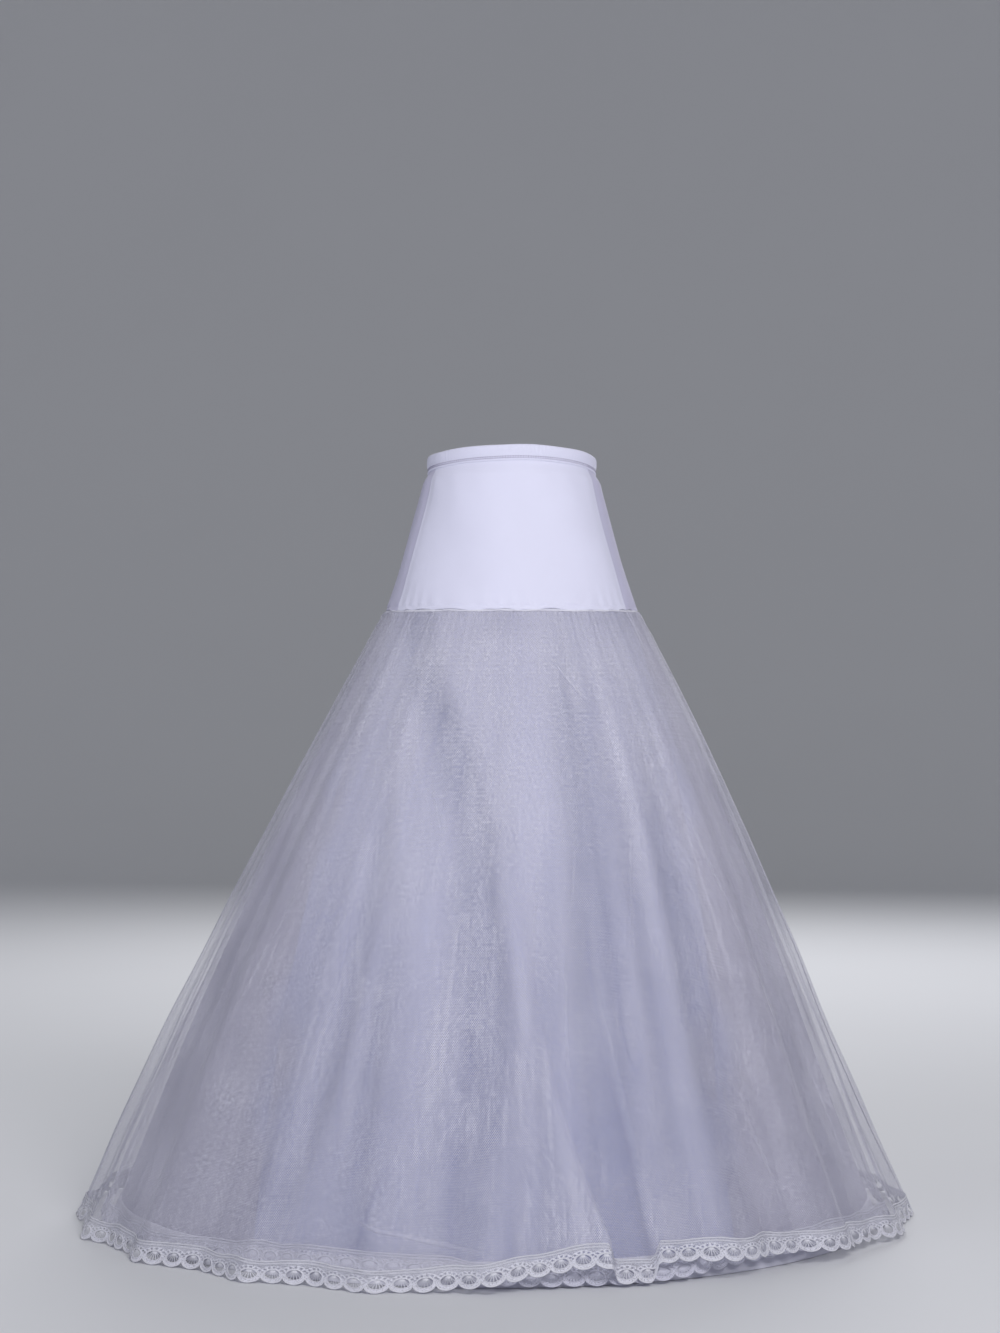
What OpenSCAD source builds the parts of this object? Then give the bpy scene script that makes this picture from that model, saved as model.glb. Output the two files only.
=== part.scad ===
// A-line crinoline petticoat: a stretch yoke on an elastic waistband, a hooped lining
// and two gathered net skirts edged with lace.
// Millimetres. +Z is up, the front faces -Y, and the hoop casing stands on Z = 0.

/* [Waist] */
// Outside width of the waistband, side to side
waist_w = 236; // [190:1:320]
// Outside depth of the waistband, front to back
waist_d = 184; // [150:1:260]
// Height of the folded waistband casing
band_h = 22; // [18:1:40]
// How much higher the waistband sits at the centre front than at the centre back
waist_rise = 30; // [0:1:40]
// Thickness of the elastic inside the casing
elastic_t = 1.6; // [1:0.1:2.5]
// Height of the stitched edge below the elastic, which holds the top of the yoke
band_stitch_h = 6; // [4:0.5:8]

/* [Yoke] */
// Height of the yoke at the centre back, from the hip seam to the waistband
yoke_h = 168; // [120:1:240]
// Outside width at the hip seam
hip_w = 348; // [300:1:420]
// Outside depth at the hip seam
hip_d = 264; // [220:1:340]
// Angle that the front panel of the yoke spans
yoke_front_angle = 128; // [110:1:180]
// Thickness of the stretch knit
knit_t = 0.8; // [0.5:0.1:1.2]
// How far the knit curves in between the hip and the waist, 1 is straight
yoke_curve = 1.15; // [1:0.05:1.6]
// How far the knit swells out just below the waistband, which draws it in
yoke_swell = 5; // [0:0.5:8]

/* [Hip seam] */
// Height of the rolled seam that joins the skirts to the yoke
seam_h = 8; // [5:0.5:14]
// How far the rolled seam stands out past the outermost skirt
seam_proud = 1; // [0.4:0.1:2]

/* [Lining] */
// Height of the hip seam's lower edge above the floor
skirt_h = 838; // [700:1:900]
// Diameter of the lining at floor level
hem_d = 1060; // [900:5:1200]
// How far the hem hangs to the left of the waist
hem_sway = 24; // [0:1:40]
// How far the skirt's side bows out at its fullest
skirt_bulge = 12; // [0:1:16]
// Thickness of the lining taffeta
lining_t = 0.8; // [0.5:0.1:1.2]
// Angle that the front and back gores span at the hip
gore_hip_angle = 140; // [90:1:150]
// Angle that the front and back gores span at the hem
gore_hem_angle = 72; // [50:1:110]

/* [Hoop] */
// Height of the hoop casing along its slope
casing_h = 34; // [24:1:50]
// Thickness of the casing cloth
casing_t = 1; // [0.6:0.1:1.5]
// Width of the flat hoop strip
hoop_w = 10; // [6:0.5:14]
// Thickness of the flat hoop strip
hoop_t = 2; // [1.2:0.1:2.6]
// Gap between the two ends of the hoop strip
hoop_end_gap = 2; // [1:0.5:6]
// Length of the crimped sleeve over the ends
joiner_length = 46; // [30:1:80]
// Wall of the crimped sleeve
joiner_t = 0.6; // [0.4:0.1:1]

/* [Net skirts] */
// Thickness of the net
net_t = 0.6; // [0.4:0.1:1]
// How far the inner net stands off the lining at the hem
inner_flare = 16; // [12:1:30]
// How far the outer net stands off the inner net at the hem
outer_flare = 26; // [22:1:40]
// Folds around the inner net
inner_folds = 14; // [10:1:18]
// Folds around the outer net
outer_folds = 21; // [12:1:24]
// Depth of the inner net's folds at the hem, from the middle to the crest
inner_fold_depth = 5; // [2:0.5:6]
// Depth of the outer net's folds at the hem, from the middle to the crest
outer_fold_depth = 10; // [3:0.5:11]
// How far the outer hem lifts at the right front, where the inner lace and the casing show
hem_lift = 28; // [0:1:40]
// How far the inner hem lifts between the places where it hangs lowest
inner_lift = 14; // [0:1:24]
// How far the outer net sinks in the deep pleat at the right front
pleat_depth = 20; // [0:1:22]

/* [Lace] */
// Height of the lace edging
lace_h = 27; // [20:1:40]
// Thickness of the lace
lace_t = 0.8; // [0.5:0.1:1.2]
// How far the lace overlaps the net
lace_lap = 8; // [4:1:12]
// Depth of the scallops along the outer lace
scallop_depth = 7; // [3:0.5:10]
// How high the lowest lace hangs above the floor
lace_clear = 1; // [0.5:0.5:10]

/* [Hidden] */
$fn = 96;

// Clearance between pieces that are sewn together
sewn_gap = 0.3;
// Clearance between a lace and the net it is sewn on
lace_gap = 0.6;
// Half the gap between two panels at a seam, as an angle
seam_half_angle = 0.02;
// Direction of the nets' left side seam, from the front towards the right
side_seam = -90;

// Points around the yoke, the waistband and the hip seam
body_cols = 48;
// Points along each fold of a net skirt
cols_per_fold = 6;
// Lace points between two points of the net it hangs on
scallop_cols = 3;
// Points around the lining, shared by its four gores
lining_cols = 84;

// Shares of the yoke's height where it has a row of points, close together below the waistband
yoke_levels = [1, 0.92, 0.62, 0.3, 0];
// Share of the yoke's height over which it swells out
swell_share = 0.08;
// Where the skirt's side bows out most, 1 is half way down and less is higher
bulge_place = 0.75;

// Rows of points down each cloth, above the part of the lining that the hoop casing grips
lining_rows = 3;
inner_rows = 3;
outer_rows = 3;

// Ways that the folds wander: how often their spacing and their depth change around the hem
spacing_waves = 3;
spacing_sway = 34;
depth_waves = 4;
depth_share = 0.3;
// Depth of a gather at the hip seam, as a share of the fold's depth at the hem
gather_share = 0.03;
// Directions where the outer hem's lift starts, peaks and ends, from the front towards the right
lift_from = -12;
lift_peak = 16;
lift_to = 88;
// Direction of the deep pleat's middle, and half the angle that it spans
pleat_angle = 18.6;
pleat_half_angle = 5.7;
// Share of the way down the skirt where the pleat starts
pleat_top = 0.4;
// Share of the hem's lift that is lost in the pleat
pleat_drop = 0.85;
// How often the inner hem dips around the skirt, and the direction of one dip
dip_waves = 5;
dip_angle = 13;
// How fast the gores' edges swing in below the hip, 1 is evenly
gore_swing = 0.6;

// Waistband casing section
band_wall = knit_t;
band_cavity = elastic_t + 2 * sewn_gap;
band_t = 2 * band_wall + band_cavity;
band_round = band_t / 4;
elastic_low = band_stitch_h + sewn_gap;
elastic_high = band_h - band_wall - sewn_gap;

// Hip seam section: the tops of the lining and both nets hang side by side below it
layer_step = 3 * sewn_gap;
inner_top = layer_step + net_t;
outer_top = inner_top + layer_step + net_t;
seam_outer = outer_top + seam_proud;
seam_inner = -lining_t - seam_proud;
seam_round = seam_h / 4;
skirt_top = skirt_h - sewn_gap;
yoke_low = skirt_h + seam_h + sewn_gap;

// Hem and hoop casing section, along the slope of the lining
hem_slope = atan((hem_d - (hip_w + hip_d) / 2) / 2 / skirt_h);
joiner_fit = hoop_t + 2 * sewn_gap;
hoop_channel = joiner_fit + 2 * (joiner_t + sewn_gap);
casing_low_t = hoop_channel + 2 * casing_t;
lining_slot = lining_t + 4 * sewn_gap;
casing_high_t = lining_slot + 2 * casing_t;
casing_floor = casing_t * 2;
hoop_low = casing_floor + joiner_t + 2 * sewn_gap;
channel_high = hoop_low + hoop_w + joiner_t + 2 * sewn_gap;
lining_low = channel_high + sewn_gap;
casing_high = casing_h * cos(hem_slope);
hoop_end_half_angle = hoop_end_gap / hem_d * 180 / PI;
joiner_half_angle = joiner_length / hem_d * 180 / PI;

function mix(from, to, share) = from + (to - from) * share;

// A smooth step from 0 to 1, for a share that may run past either end
function ease(share) =
    let (t = min(max(share, 0), 1))
    t * t * (3 - 2 * t);

// A point on an ellipse, with the angle counted from the front towards the right
function on_ellipse(angle, half_w, half_d, z) = [sin(angle) * half_w, -cos(angle) * half_d, z];

// Waist and yoke: the ellipse at each level, with offset measured outwards

function waist_z(angle) = yoke_low + yoke_h + waist_rise * (1 + cos(angle)) / 2;

function waist_point(angle, offset, up) =
    on_ellipse(angle, waist_w / 2 + offset, waist_d / 2 + offset, waist_z(angle) + up);

// Share 0 is the hip seam and 1 the lower edge of the waistband
function yoke_point(angle, share, offset) =
    let (open = pow(1 - share, yoke_curve),
         tucked = band_wall + sewn_gap,
         out = yoke_swell * share * ease((1 - share) / swell_share) + offset)
    on_ellipse(angle,
               mix(waist_w / 2 - tucked, hip_w / 2, open) + out,
               mix(waist_d / 2 - tucked, hip_d / 2, open) + out,
               mix(yoke_low, waist_z(angle), share));

// Skirt: an ellipse at the hip that opens to a circle at the hoop casing

function skirt_open(z) = 1 - z / skirt_h;

function skirt_round(z) = min((skirt_h - z) / (skirt_h - casing_h), 1);

function skirt_point(angle, z, offset) =
    let (open = skirt_open(z),
         round_share = skirt_round(z),
         bow = skirt_bulge * sin(180 * pow(open, bulge_place)),
         half_w = mix(hip_w, hem_d, open) / 2 + bow,
         half_d = half_w - (hip_w - hip_d) / 2 * (1 - round_share))
    on_ellipse(angle, half_w + offset, half_d + offset, z) - [hem_sway * ease(round_share), 0, 0];

// Folds open from small gathers at the hip to their full depth at the hem
function fold(angle, z, folds, depth) =
    let (wander = spacing_sway * sin(spacing_waves * angle),
         size = 1 - depth_share * (1 + cos(depth_waves * angle)) / 2)
    depth * mix(gather_share, 1, skirt_open(z)) * size * cos(folds * angle + wander);

function inner_offset(z) = inner_top + inner_flare * skirt_open(z);

function outer_offset(z) = outer_top + (inner_flare + outer_flare) * skirt_open(z);

// The deep pleat: 1 along its middle and 0 beside it, sinking evenly deeper down to the hem
function pleat(angle) = 1 - ease(abs(angle - pleat_angle) / pleat_half_angle);

function pleat_sink(angle, z) =
    pleat_depth * pleat(angle) * max(skirt_open(z) - pleat_top, 0) / (1 - pleat_top);

function inner_point(angle, z, offset) =
    skirt_point(angle, z, inner_offset(z) + fold(angle, z, inner_folds, inner_fold_depth) + offset);

function outer_point(angle, z, offset) =
    let (plain = outer_offset(z) + fold(angle, z, outer_folds, outer_fold_depth))
    skirt_point(angle, z, plain - pleat_sink(angle, z) + offset);

// The lace tips: dipping a little around the inner net, lifted at the right front on the outer net
function inner_tip(angle) =
    casing_floor + lace_clear + inner_lift * (1 - cos(dip_waves * (angle - dip_angle))) / 2;

function outer_tip(angle) =
    lace_clear + hem_lift * ease((angle - lift_from) / (lift_peak - lift_from))
                          * (1 - ease((angle - lift_peak) / (lift_to - lift_peak)))
                          * (1 - pleat_drop * pleat(angle));

// Where a net ends behind its lace
function net_edge(tip) = tip + lace_h - lace_lap;

// The offsets and heights of the lace section, up its outer side and down its inner side
function lace_section(notch) = [
    [lace_gap + lace_t, notch],
    [lace_gap + lace_t, lace_h],
    [lace_gap, lace_h],
    [lace_gap, notch]
];

// The outer lace: each scallop has a notch at its first point and a straight foot between the others
lace_cols = outer_folds * cols_per_fold;
lace_step = 360 / lace_cols;
outer_lace_sections = [
    for (k = [0 : lace_cols - 1], j = [0 : scallop_cols - 1])
    let (here = side_seam + k * lace_step,
         next = here + lace_step,
         notch = j == 0 ? scallop_depth : 0)
    [for (corner = lace_section(notch))
        mix(outer_point(here, outer_tip(here) + corner[1], corner[0]),
            outer_point(next, outer_tip(next) + corner[1], corner[0]),
            j / scallop_cols)]
];

// The frame's origin is on the floor, in the middle of the outer lace's outline
lace_x = [for (section = outer_lace_sections, corner = section) corner[0]];
lace_y = [for (section = outer_lace_sections, corner = section) corner[1]];
to_frame = -[min(lace_x) + max(lace_x), min(lace_y) + max(lace_y), 0] / 2;

// Meshes

// Two triangles for the four corners of a quad, clockwise seen from outside
function quad(a, b, c, d) = [[a, b, c], [a, c, d]];

// A closed cloth between an outer and an inner grid of points, rows running down
module cloth(outer, inner) {
    rows = len(outer);
    cols = len(outer[0]);
    back = rows * cols;
    last_row = (rows - 1) * cols;
    points = concat([for (row = outer) each row], [for (row = inner) each row]);
    walls = [
        for (i = [0 : rows - 2], j = [0 : cols - 2])
        let (p = i * cols + j)
        each concat(quad(p, p + 1, p + cols + 1, p + cols),
                    quad(back + p, back + p + cols, back + p + cols + 1, back + p + 1))
    ];
    ends = [
        for (j = [0 : cols - 2])
        let (p = last_row + j)
        each concat(quad(back + j, back + j + 1, j + 1, j), quad(p, p + 1, back + p + 1, back + p))
    ];
    sides = [
        for (i = [0 : rows - 2])
        let (p = i * cols,
             q = p + cols - 1)
        each concat(quad(p, p + cols, back + p + cols, back + p),
                    quad(q + cols, q, back + q, back + q + cols))
    ];
    translate(to_frame) polyhedron(points, concat(walls, ends, sides), convexity = 10);
}

// A closed ring swept through a list of section loops, each loop running up its outer side first
module ring(sections) {
    count = len(sections);
    size = len(sections[0]);
    points = [for (section = sections) each section];
    faces = [
        for (j = [0 : count - 1], i = [0 : size - 1])
        let (here = j * size,
             next = ((j + 1) % count) * size,
             up = (i + 1) % size)
        each quad(here + i, here + up, next + up, next + i)
    ];
    translate(to_frame) polyhedron(points, faces, convexity = 10);
}

// Evenly spaced angles over a panel, short of its two seams
function panel_angles(from, to, cols) =
    [for (j = [0 : cols]) mix(from + seam_half_angle, to - seam_half_angle, j / cols)];

function ring_angles(cols) = [for (j = [0 : cols - 1]) side_seam + 360 * j / cols];

function row_shares(rows) = [for (i = [0 : rows]) i / rows];

// Waistband

module waistband_casing() {
    profile = [
        [0, 0],
        [0, band_h - band_round],
        [-band_round, band_h],
        [band_round - band_t, band_h],
        [-band_t, band_h - band_round],
        [-band_t, 0],
        [band_wall - band_t, 0],
        [band_wall - band_t, band_h - band_wall],
        [-band_wall, band_h - band_wall],
        [-band_wall, 0]
    ];
    color("white") ring([
        for (angle = ring_angles(body_cols))
        [for (corner = profile) waist_point(angle, corner[0], corner[1])]
    ]);
}

module waist_elastic() {
    outside = -band_wall - sewn_gap;
    profile = [
        [outside, elastic_low],
        [outside, elastic_high],
        [outside - elastic_t, elastic_high],
        [outside - elastic_t, elastic_low]
    ];
    color("whitesmoke") ring([
        for (angle = ring_angles(body_cols))
        [for (corner = profile) waist_point(angle, corner[0], corner[1])]
    ]);
}

// Yoke: two knit panels whose top edges are tucked into the waistband

module yoke_panel(from, to) {
    angles = panel_angles(from, to, round(body_cols * (to - from) / 360));
    tuck = band_stitch_h - sewn_gap;
    tucked_offset = -band_wall - sewn_gap;
    function grid(inset) = concat(
        [[for (angle = angles) waist_point(angle, tucked_offset - inset, tuck)]],
        [for (share = yoke_levels)
            [for (angle = angles) yoke_point(angle, share, -inset)]]
    );
    cloth(grid(0), grid(knit_t));
}

module yoke_front() {
    color("white") yoke_panel(-yoke_front_angle / 2, yoke_front_angle / 2);
}

module yoke_back() {
    color("white") yoke_panel(yoke_front_angle / 2, 360 - yoke_front_angle / 2);
}

// Hip seam: a rolled seam between the yoke's lower edge and the tops of the skirts

module hip_seam() {
    profile = [
        [seam_outer - seam_round, 0],
        [seam_outer, seam_round],
        [seam_outer, seam_h - seam_round],
        [seam_outer - seam_round, seam_h],
        [seam_inner, seam_h],
        [seam_inner, 0]
    ];
    color("white") ring([
        for (angle = ring_angles(body_cols))
        [for (corner = profile)
            on_ellipse(angle, hip_w / 2 + corner[0], hip_d / 2 + corner[0], skirt_h + corner[1])]
    ]);
}

// Lining: four gores, wide side gores between a narrow front and back

// The angle of a gore's edge swings from its place at the hip to its place at the hem
function gore_angle(hip_angle, hem_angle, z) = mix(hip_angle, hem_angle, pow(skirt_round(z), gore_swing));

module lining_gore(hip_from, hip_to, hem_from, hem_to) {
    levels = concat([for (share = row_shares(lining_rows)) mix(skirt_top, casing_h, share)], lining_low);
    cols = lining_cols / 4;
    function grid(inset) = [
        for (z = levels)
        let (from = gore_angle(hip_from, hem_from, z),
             to = gore_angle(hip_to, hem_to, z))
        [for (angle = panel_angles(from, to, cols)) skirt_point(angle, z, -inset)]
    ];
    cloth(grid(0), grid(lining_t));
}

module lining_front_gore() {
    color("lavender")
        lining_gore(-gore_hip_angle / 2, gore_hip_angle / 2, -gore_hem_angle / 2, gore_hem_angle / 2);
}

module lining_right_gore() {
    color("whitesmoke")
        lining_gore(gore_hip_angle / 2, 180 - gore_hip_angle / 2,
                    gore_hem_angle / 2, 180 - gore_hem_angle / 2);
}

module lining_back_gore() {
    color("lavender")
        lining_gore(180 - gore_hip_angle / 2, 180 + gore_hip_angle / 2,
                    180 - gore_hem_angle / 2, 180 + gore_hem_angle / 2);
}

module lining_left_gore() {
    color("whitesmoke")
        lining_gore(180 + gore_hip_angle / 2, 360 - gore_hip_angle / 2,
                    180 + gore_hem_angle / 2, 360 - gore_hem_angle / 2);
}

// Hoop: a flat strip bent to a ring inside a folded casing that grips the lining's hem

// Radius of the lining's middle at a height near the floor
function hem_radius(z) = (skirt_point(90, z, 0) - skirt_point(270, z, 0))[0] / 2 - lining_t / 2;

// Turns a flat section about the Z axis of the swayed hem
module hem_turn(from = 0, to = 360) {
    translate(to_frame - [hem_sway, 0, 0])
        rotate(from)
            rotate_extrude(angle = to - from)
                children();
}

// A slab of the hem section: it follows the lining's slope between two heights
module hem_slab(low, high, thickness) {
    polygon([
        [hem_radius(low) - thickness / 2, low],
        [hem_radius(low) + thickness / 2, low],
        [hem_radius(high) + thickness / 2, high],
        [hem_radius(high) - thickness / 2, high]
    ]);
}

module hoop_casing() {
    color("white") hem_turn() difference() {
        union() {
            hem_slab(0, channel_high + casing_t, casing_low_t);
            hem_slab(channel_high, casing_high, casing_high_t);
        }
        hem_slab(casing_floor, channel_high, hoop_channel);
        hem_slab(channel_high - sewn_gap, casing_high + casing_t, lining_slot);
    }
}

module hoop_strip() {
    color("white")
        hem_turn(90 + hoop_end_half_angle, 450 - hoop_end_half_angle)
            hem_slab(hoop_low, hoop_low + hoop_w, hoop_t);
}

module hoop_joiner() {
    low = hoop_low - sewn_gap;
    high = hoop_low + hoop_w + sewn_gap;
    color("silver")
        hem_turn(90 - joiner_half_angle, 90 + joiner_half_angle)
            difference() {
                hem_slab(low - joiner_t, high + joiner_t, joiner_fit + 2 * joiner_t);
                hem_slab(low, high, joiner_fit);
            }
}

// Net skirts: each a front and a back panel joined at the sides, with folds that open downwards

module inner_net(from, to) {
    angles = panel_angles(from, to, inner_folds * cols_per_fold / 2);
    function grid(inset) = [
        for (share = row_shares(inner_rows))
        [for (angle = angles)
            inner_point(angle, mix(skirt_top, net_edge(inner_tip(angle)), share), -inset)]
    ];
    cloth(grid(0), grid(net_t));
}

module inner_net_front() {
    color("aliceblue", 0.5) inner_net(side_seam, side_seam + 180);
}

module inner_net_back() {
    color("aliceblue", 0.5) inner_net(side_seam + 180, side_seam + 360);
}

module outer_net(from, to) {
    angles = panel_angles(from, to, outer_folds * cols_per_fold / 2);
    function grid(inset) = [
        for (share = row_shares(outer_rows))
        [for (angle = angles)
            outer_point(angle, mix(skirt_top, net_edge(outer_tip(angle)), share), -inset)]
    ];
    cloth(grid(0), grid(net_t));
}

module outer_net_front() {
    color("ghostwhite", 0.4) outer_net(side_seam, side_seam + 180);
}

module outer_net_back() {
    color("ghostwhite", 0.4) outer_net(side_seam + 180, side_seam + 360);
}

// Lace: bands that follow the nets' own points, so that they lie flat on every fold

module inner_lace() {
    section = lace_section(0);
    color("white") ring([
        for (angle = ring_angles(inner_folds * cols_per_fold))
        [for (corner = section) inner_point(angle, inner_tip(angle) + corner[1], corner[0])]
    ]);
}

module outer_lace() {
    color("white") ring(outer_lace_sections);
}

waistband_casing();
waist_elastic();
yoke_front();
yoke_back();
hip_seam();
lining_front_gore();
lining_right_gore();
lining_back_gore();
lining_left_gore();
hoop_casing();
hoop_strip();
hoop_joiner();
inner_net_front();
inner_net_back();
inner_lace();
outer_net_front();
outer_net_back();
outer_lace();
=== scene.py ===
"""Looks of an A-line crinoline petticoat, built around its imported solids.

Lengths are metres in the frame of the solids: +Z up, the front towards -Y, the floor at Z = 0.
Angles run around the skirt in radians, from the centre front (-Y) towards the right (+X).
"""

import logging
import math
from abc import ABC, abstractmethod
from dataclasses import dataclass, field
from enum import Enum
from typing import Any, Callable, Sequence

import bmesh
import bpy
import numpy as np
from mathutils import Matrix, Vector


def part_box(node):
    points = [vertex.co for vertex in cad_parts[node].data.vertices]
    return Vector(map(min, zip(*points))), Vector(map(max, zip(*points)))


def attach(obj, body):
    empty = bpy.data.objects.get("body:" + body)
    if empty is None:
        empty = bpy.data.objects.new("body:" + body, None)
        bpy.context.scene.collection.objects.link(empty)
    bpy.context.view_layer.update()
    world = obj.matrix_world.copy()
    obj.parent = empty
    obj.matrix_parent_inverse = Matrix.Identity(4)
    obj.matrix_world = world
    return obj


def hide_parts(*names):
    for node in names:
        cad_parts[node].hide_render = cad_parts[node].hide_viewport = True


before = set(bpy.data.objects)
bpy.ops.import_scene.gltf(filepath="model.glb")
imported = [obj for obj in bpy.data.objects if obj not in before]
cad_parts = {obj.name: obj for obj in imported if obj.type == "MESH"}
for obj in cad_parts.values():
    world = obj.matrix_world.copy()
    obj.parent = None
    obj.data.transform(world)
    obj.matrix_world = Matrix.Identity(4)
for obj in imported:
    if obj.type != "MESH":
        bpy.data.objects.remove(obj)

Array = np.ndarray
Colour = tuple[float, float, float]
LOG = logging.getLogger("petticoat")
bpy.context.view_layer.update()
FULL_TURN = 2 * math.pi
CUT_EDGE = math.radians(60)
SEWN_TOP = 0.0003


class Slot(Enum):
    """The record's material slots that the new pieces' finishes belong to."""

    KNIT = "stretch_knit"
    THREAD = "seam_thread"
    TAFFETA_COOL = "taffeta_cool"
    TAFFETA_WARM = "taffeta_warm"
    SATIN = "casing_satin"
    NET = "net"
    LACE = "lace"


def srgb(red: float, green: float, blue: float) -> Colour:
    """Returns a display colour of 0 to 255 as linear light."""
    shares = np.array([red, green, blue]) / 255
    linear = np.where(shares <= 0.04045, shares / 12.92, ((shares + 0.055) / 1.055) ** 2.4)
    return tuple(float(c) for c in linear)


def mix(start: Any, end: Any, share: Any) -> Any:
    """Returns the value a share of the way from start to end."""
    return start + (end - start) * share


def ease(share: Array) -> Array:
    """Returns a smooth step from 0 to 1, flat beyond both ends."""
    t = np.clip(share, 0, 1)
    return t * t * (3 - 2 * t)


def bell(place: Array, width: float) -> Array:
    """Returns a bell curve: 1 in the middle, 1 / e at the width to both sides."""
    return np.exp(-((place / width) ** 2))


def waves(angle: Array, count: float, drift: float, drifts: float, phase: Any = 0.0) -> Array:
    """Returns waves round the skirt with uneven spacing.

    They are the sine of count times the angle, plus drift times the sine of drifts times the angle,
    plus the phase.

    Args:
        angle: direction from the front.
        count: waves in a full turn.
        drift: how far a wave is moved at most, in radians of its own turn.
        drifts: how often the spacing changes in a full turn.
        phase: a shift of all the waves.

    Returns:
        Heights from -1 to 1.
    """
    return np.sin(count * angle + drift * np.sin(drifts * angle) + phase)


def wrapped(angle: Array) -> Array:
    """Returns angles brought to less than half a turn from the front."""
    return (angle + np.pi) % FULL_TURN - np.pi


def turns(count: int) -> Array:
    """Returns evenly spaced angles round a full turn."""
    return np.linspace(0, FULL_TURN, count, endpoint=False)


def lattice(columns: Array, rows: Array) -> Array:
    """Returns the UV of a grid from the places of its columns and its rows."""
    return np.stack(np.meshgrid(columns, rows), -1)


def unit(vectors: Array) -> Array:
    """Returns vectors divided by their lengths."""
    return vectors / np.maximum(np.linalg.norm(vectors, axis=-1, keepdims=True), 1e-12)


def middle(node: str) -> tuple[float, float]:
    """Returns the middle of a node's box in X and Y."""
    low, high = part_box(node)
    return (low[0] + high[0]) / 2, (low[1] + high[1]) / 2


# Shader nodes


def operator(operation: str, swapped: bool = False) -> Callable[..., "Value"]:
    """Returns a method that adds one Math node, with its own value as the first or the last term."""

    def method(self: "Value", *others: Any) -> "Value":
        """Returns the Math node's result."""
        return self.maths(operation, *((*others, self) if swapped else (self, *others)))

    return method


class Value:
    """A node socket that takes part in Python arithmetic, with one Math node per operation."""

    def __init__(self, paint: "Paint", socket: bpy.types.NodeSocket) -> None:
        """Wraps one output socket of a material."""
        self.paint = paint
        self.socket = socket

    def maths(self, operation: str, *terms: Any) -> "Value":
        """Returns one Math node's result on the given terms, in their order."""
        node = self.paint.node("ShaderNodeMath", {"operation": operation}, dict(enumerate(terms)))
        return Value(self.paint, node.outputs[0])

    __add__ = __radd__ = operator("ADD")
    __mul__ = __rmul__ = operator("MULTIPLY")
    __sub__ = operator("SUBTRACT")
    __rsub__ = operator("SUBTRACT", swapped=True)
    __truediv__ = operator("DIVIDE")
    __pow__ = operator("POWER")
    __abs__ = operator("ABSOLUTE")
    __lt__ = operator("LESS_THAN")
    fract = operator("FRACT")
    sine = operator("SINE")
    most = operator("MAXIMUM")
    least = operator("MINIMUM")

    def clamped(self) -> "Value":
        """Returns the value held between 0 and 1."""
        return self.most(0.0).least(1.0)

    def rise(self, low: float, high: float) -> "Value":
        """Returns a smooth step that goes from 0 at low to 1 at high."""
        node = self.paint.node(
            "ShaderNodeMapRange",
            {"interpolation_type": "SMOOTHSTEP"},
            {"Value": self, "From Min": low, "From Max": high, "To Min": 0.0, "To Max": 1.0},
        )
        return Value(self.paint, node.outputs[0])


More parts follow.
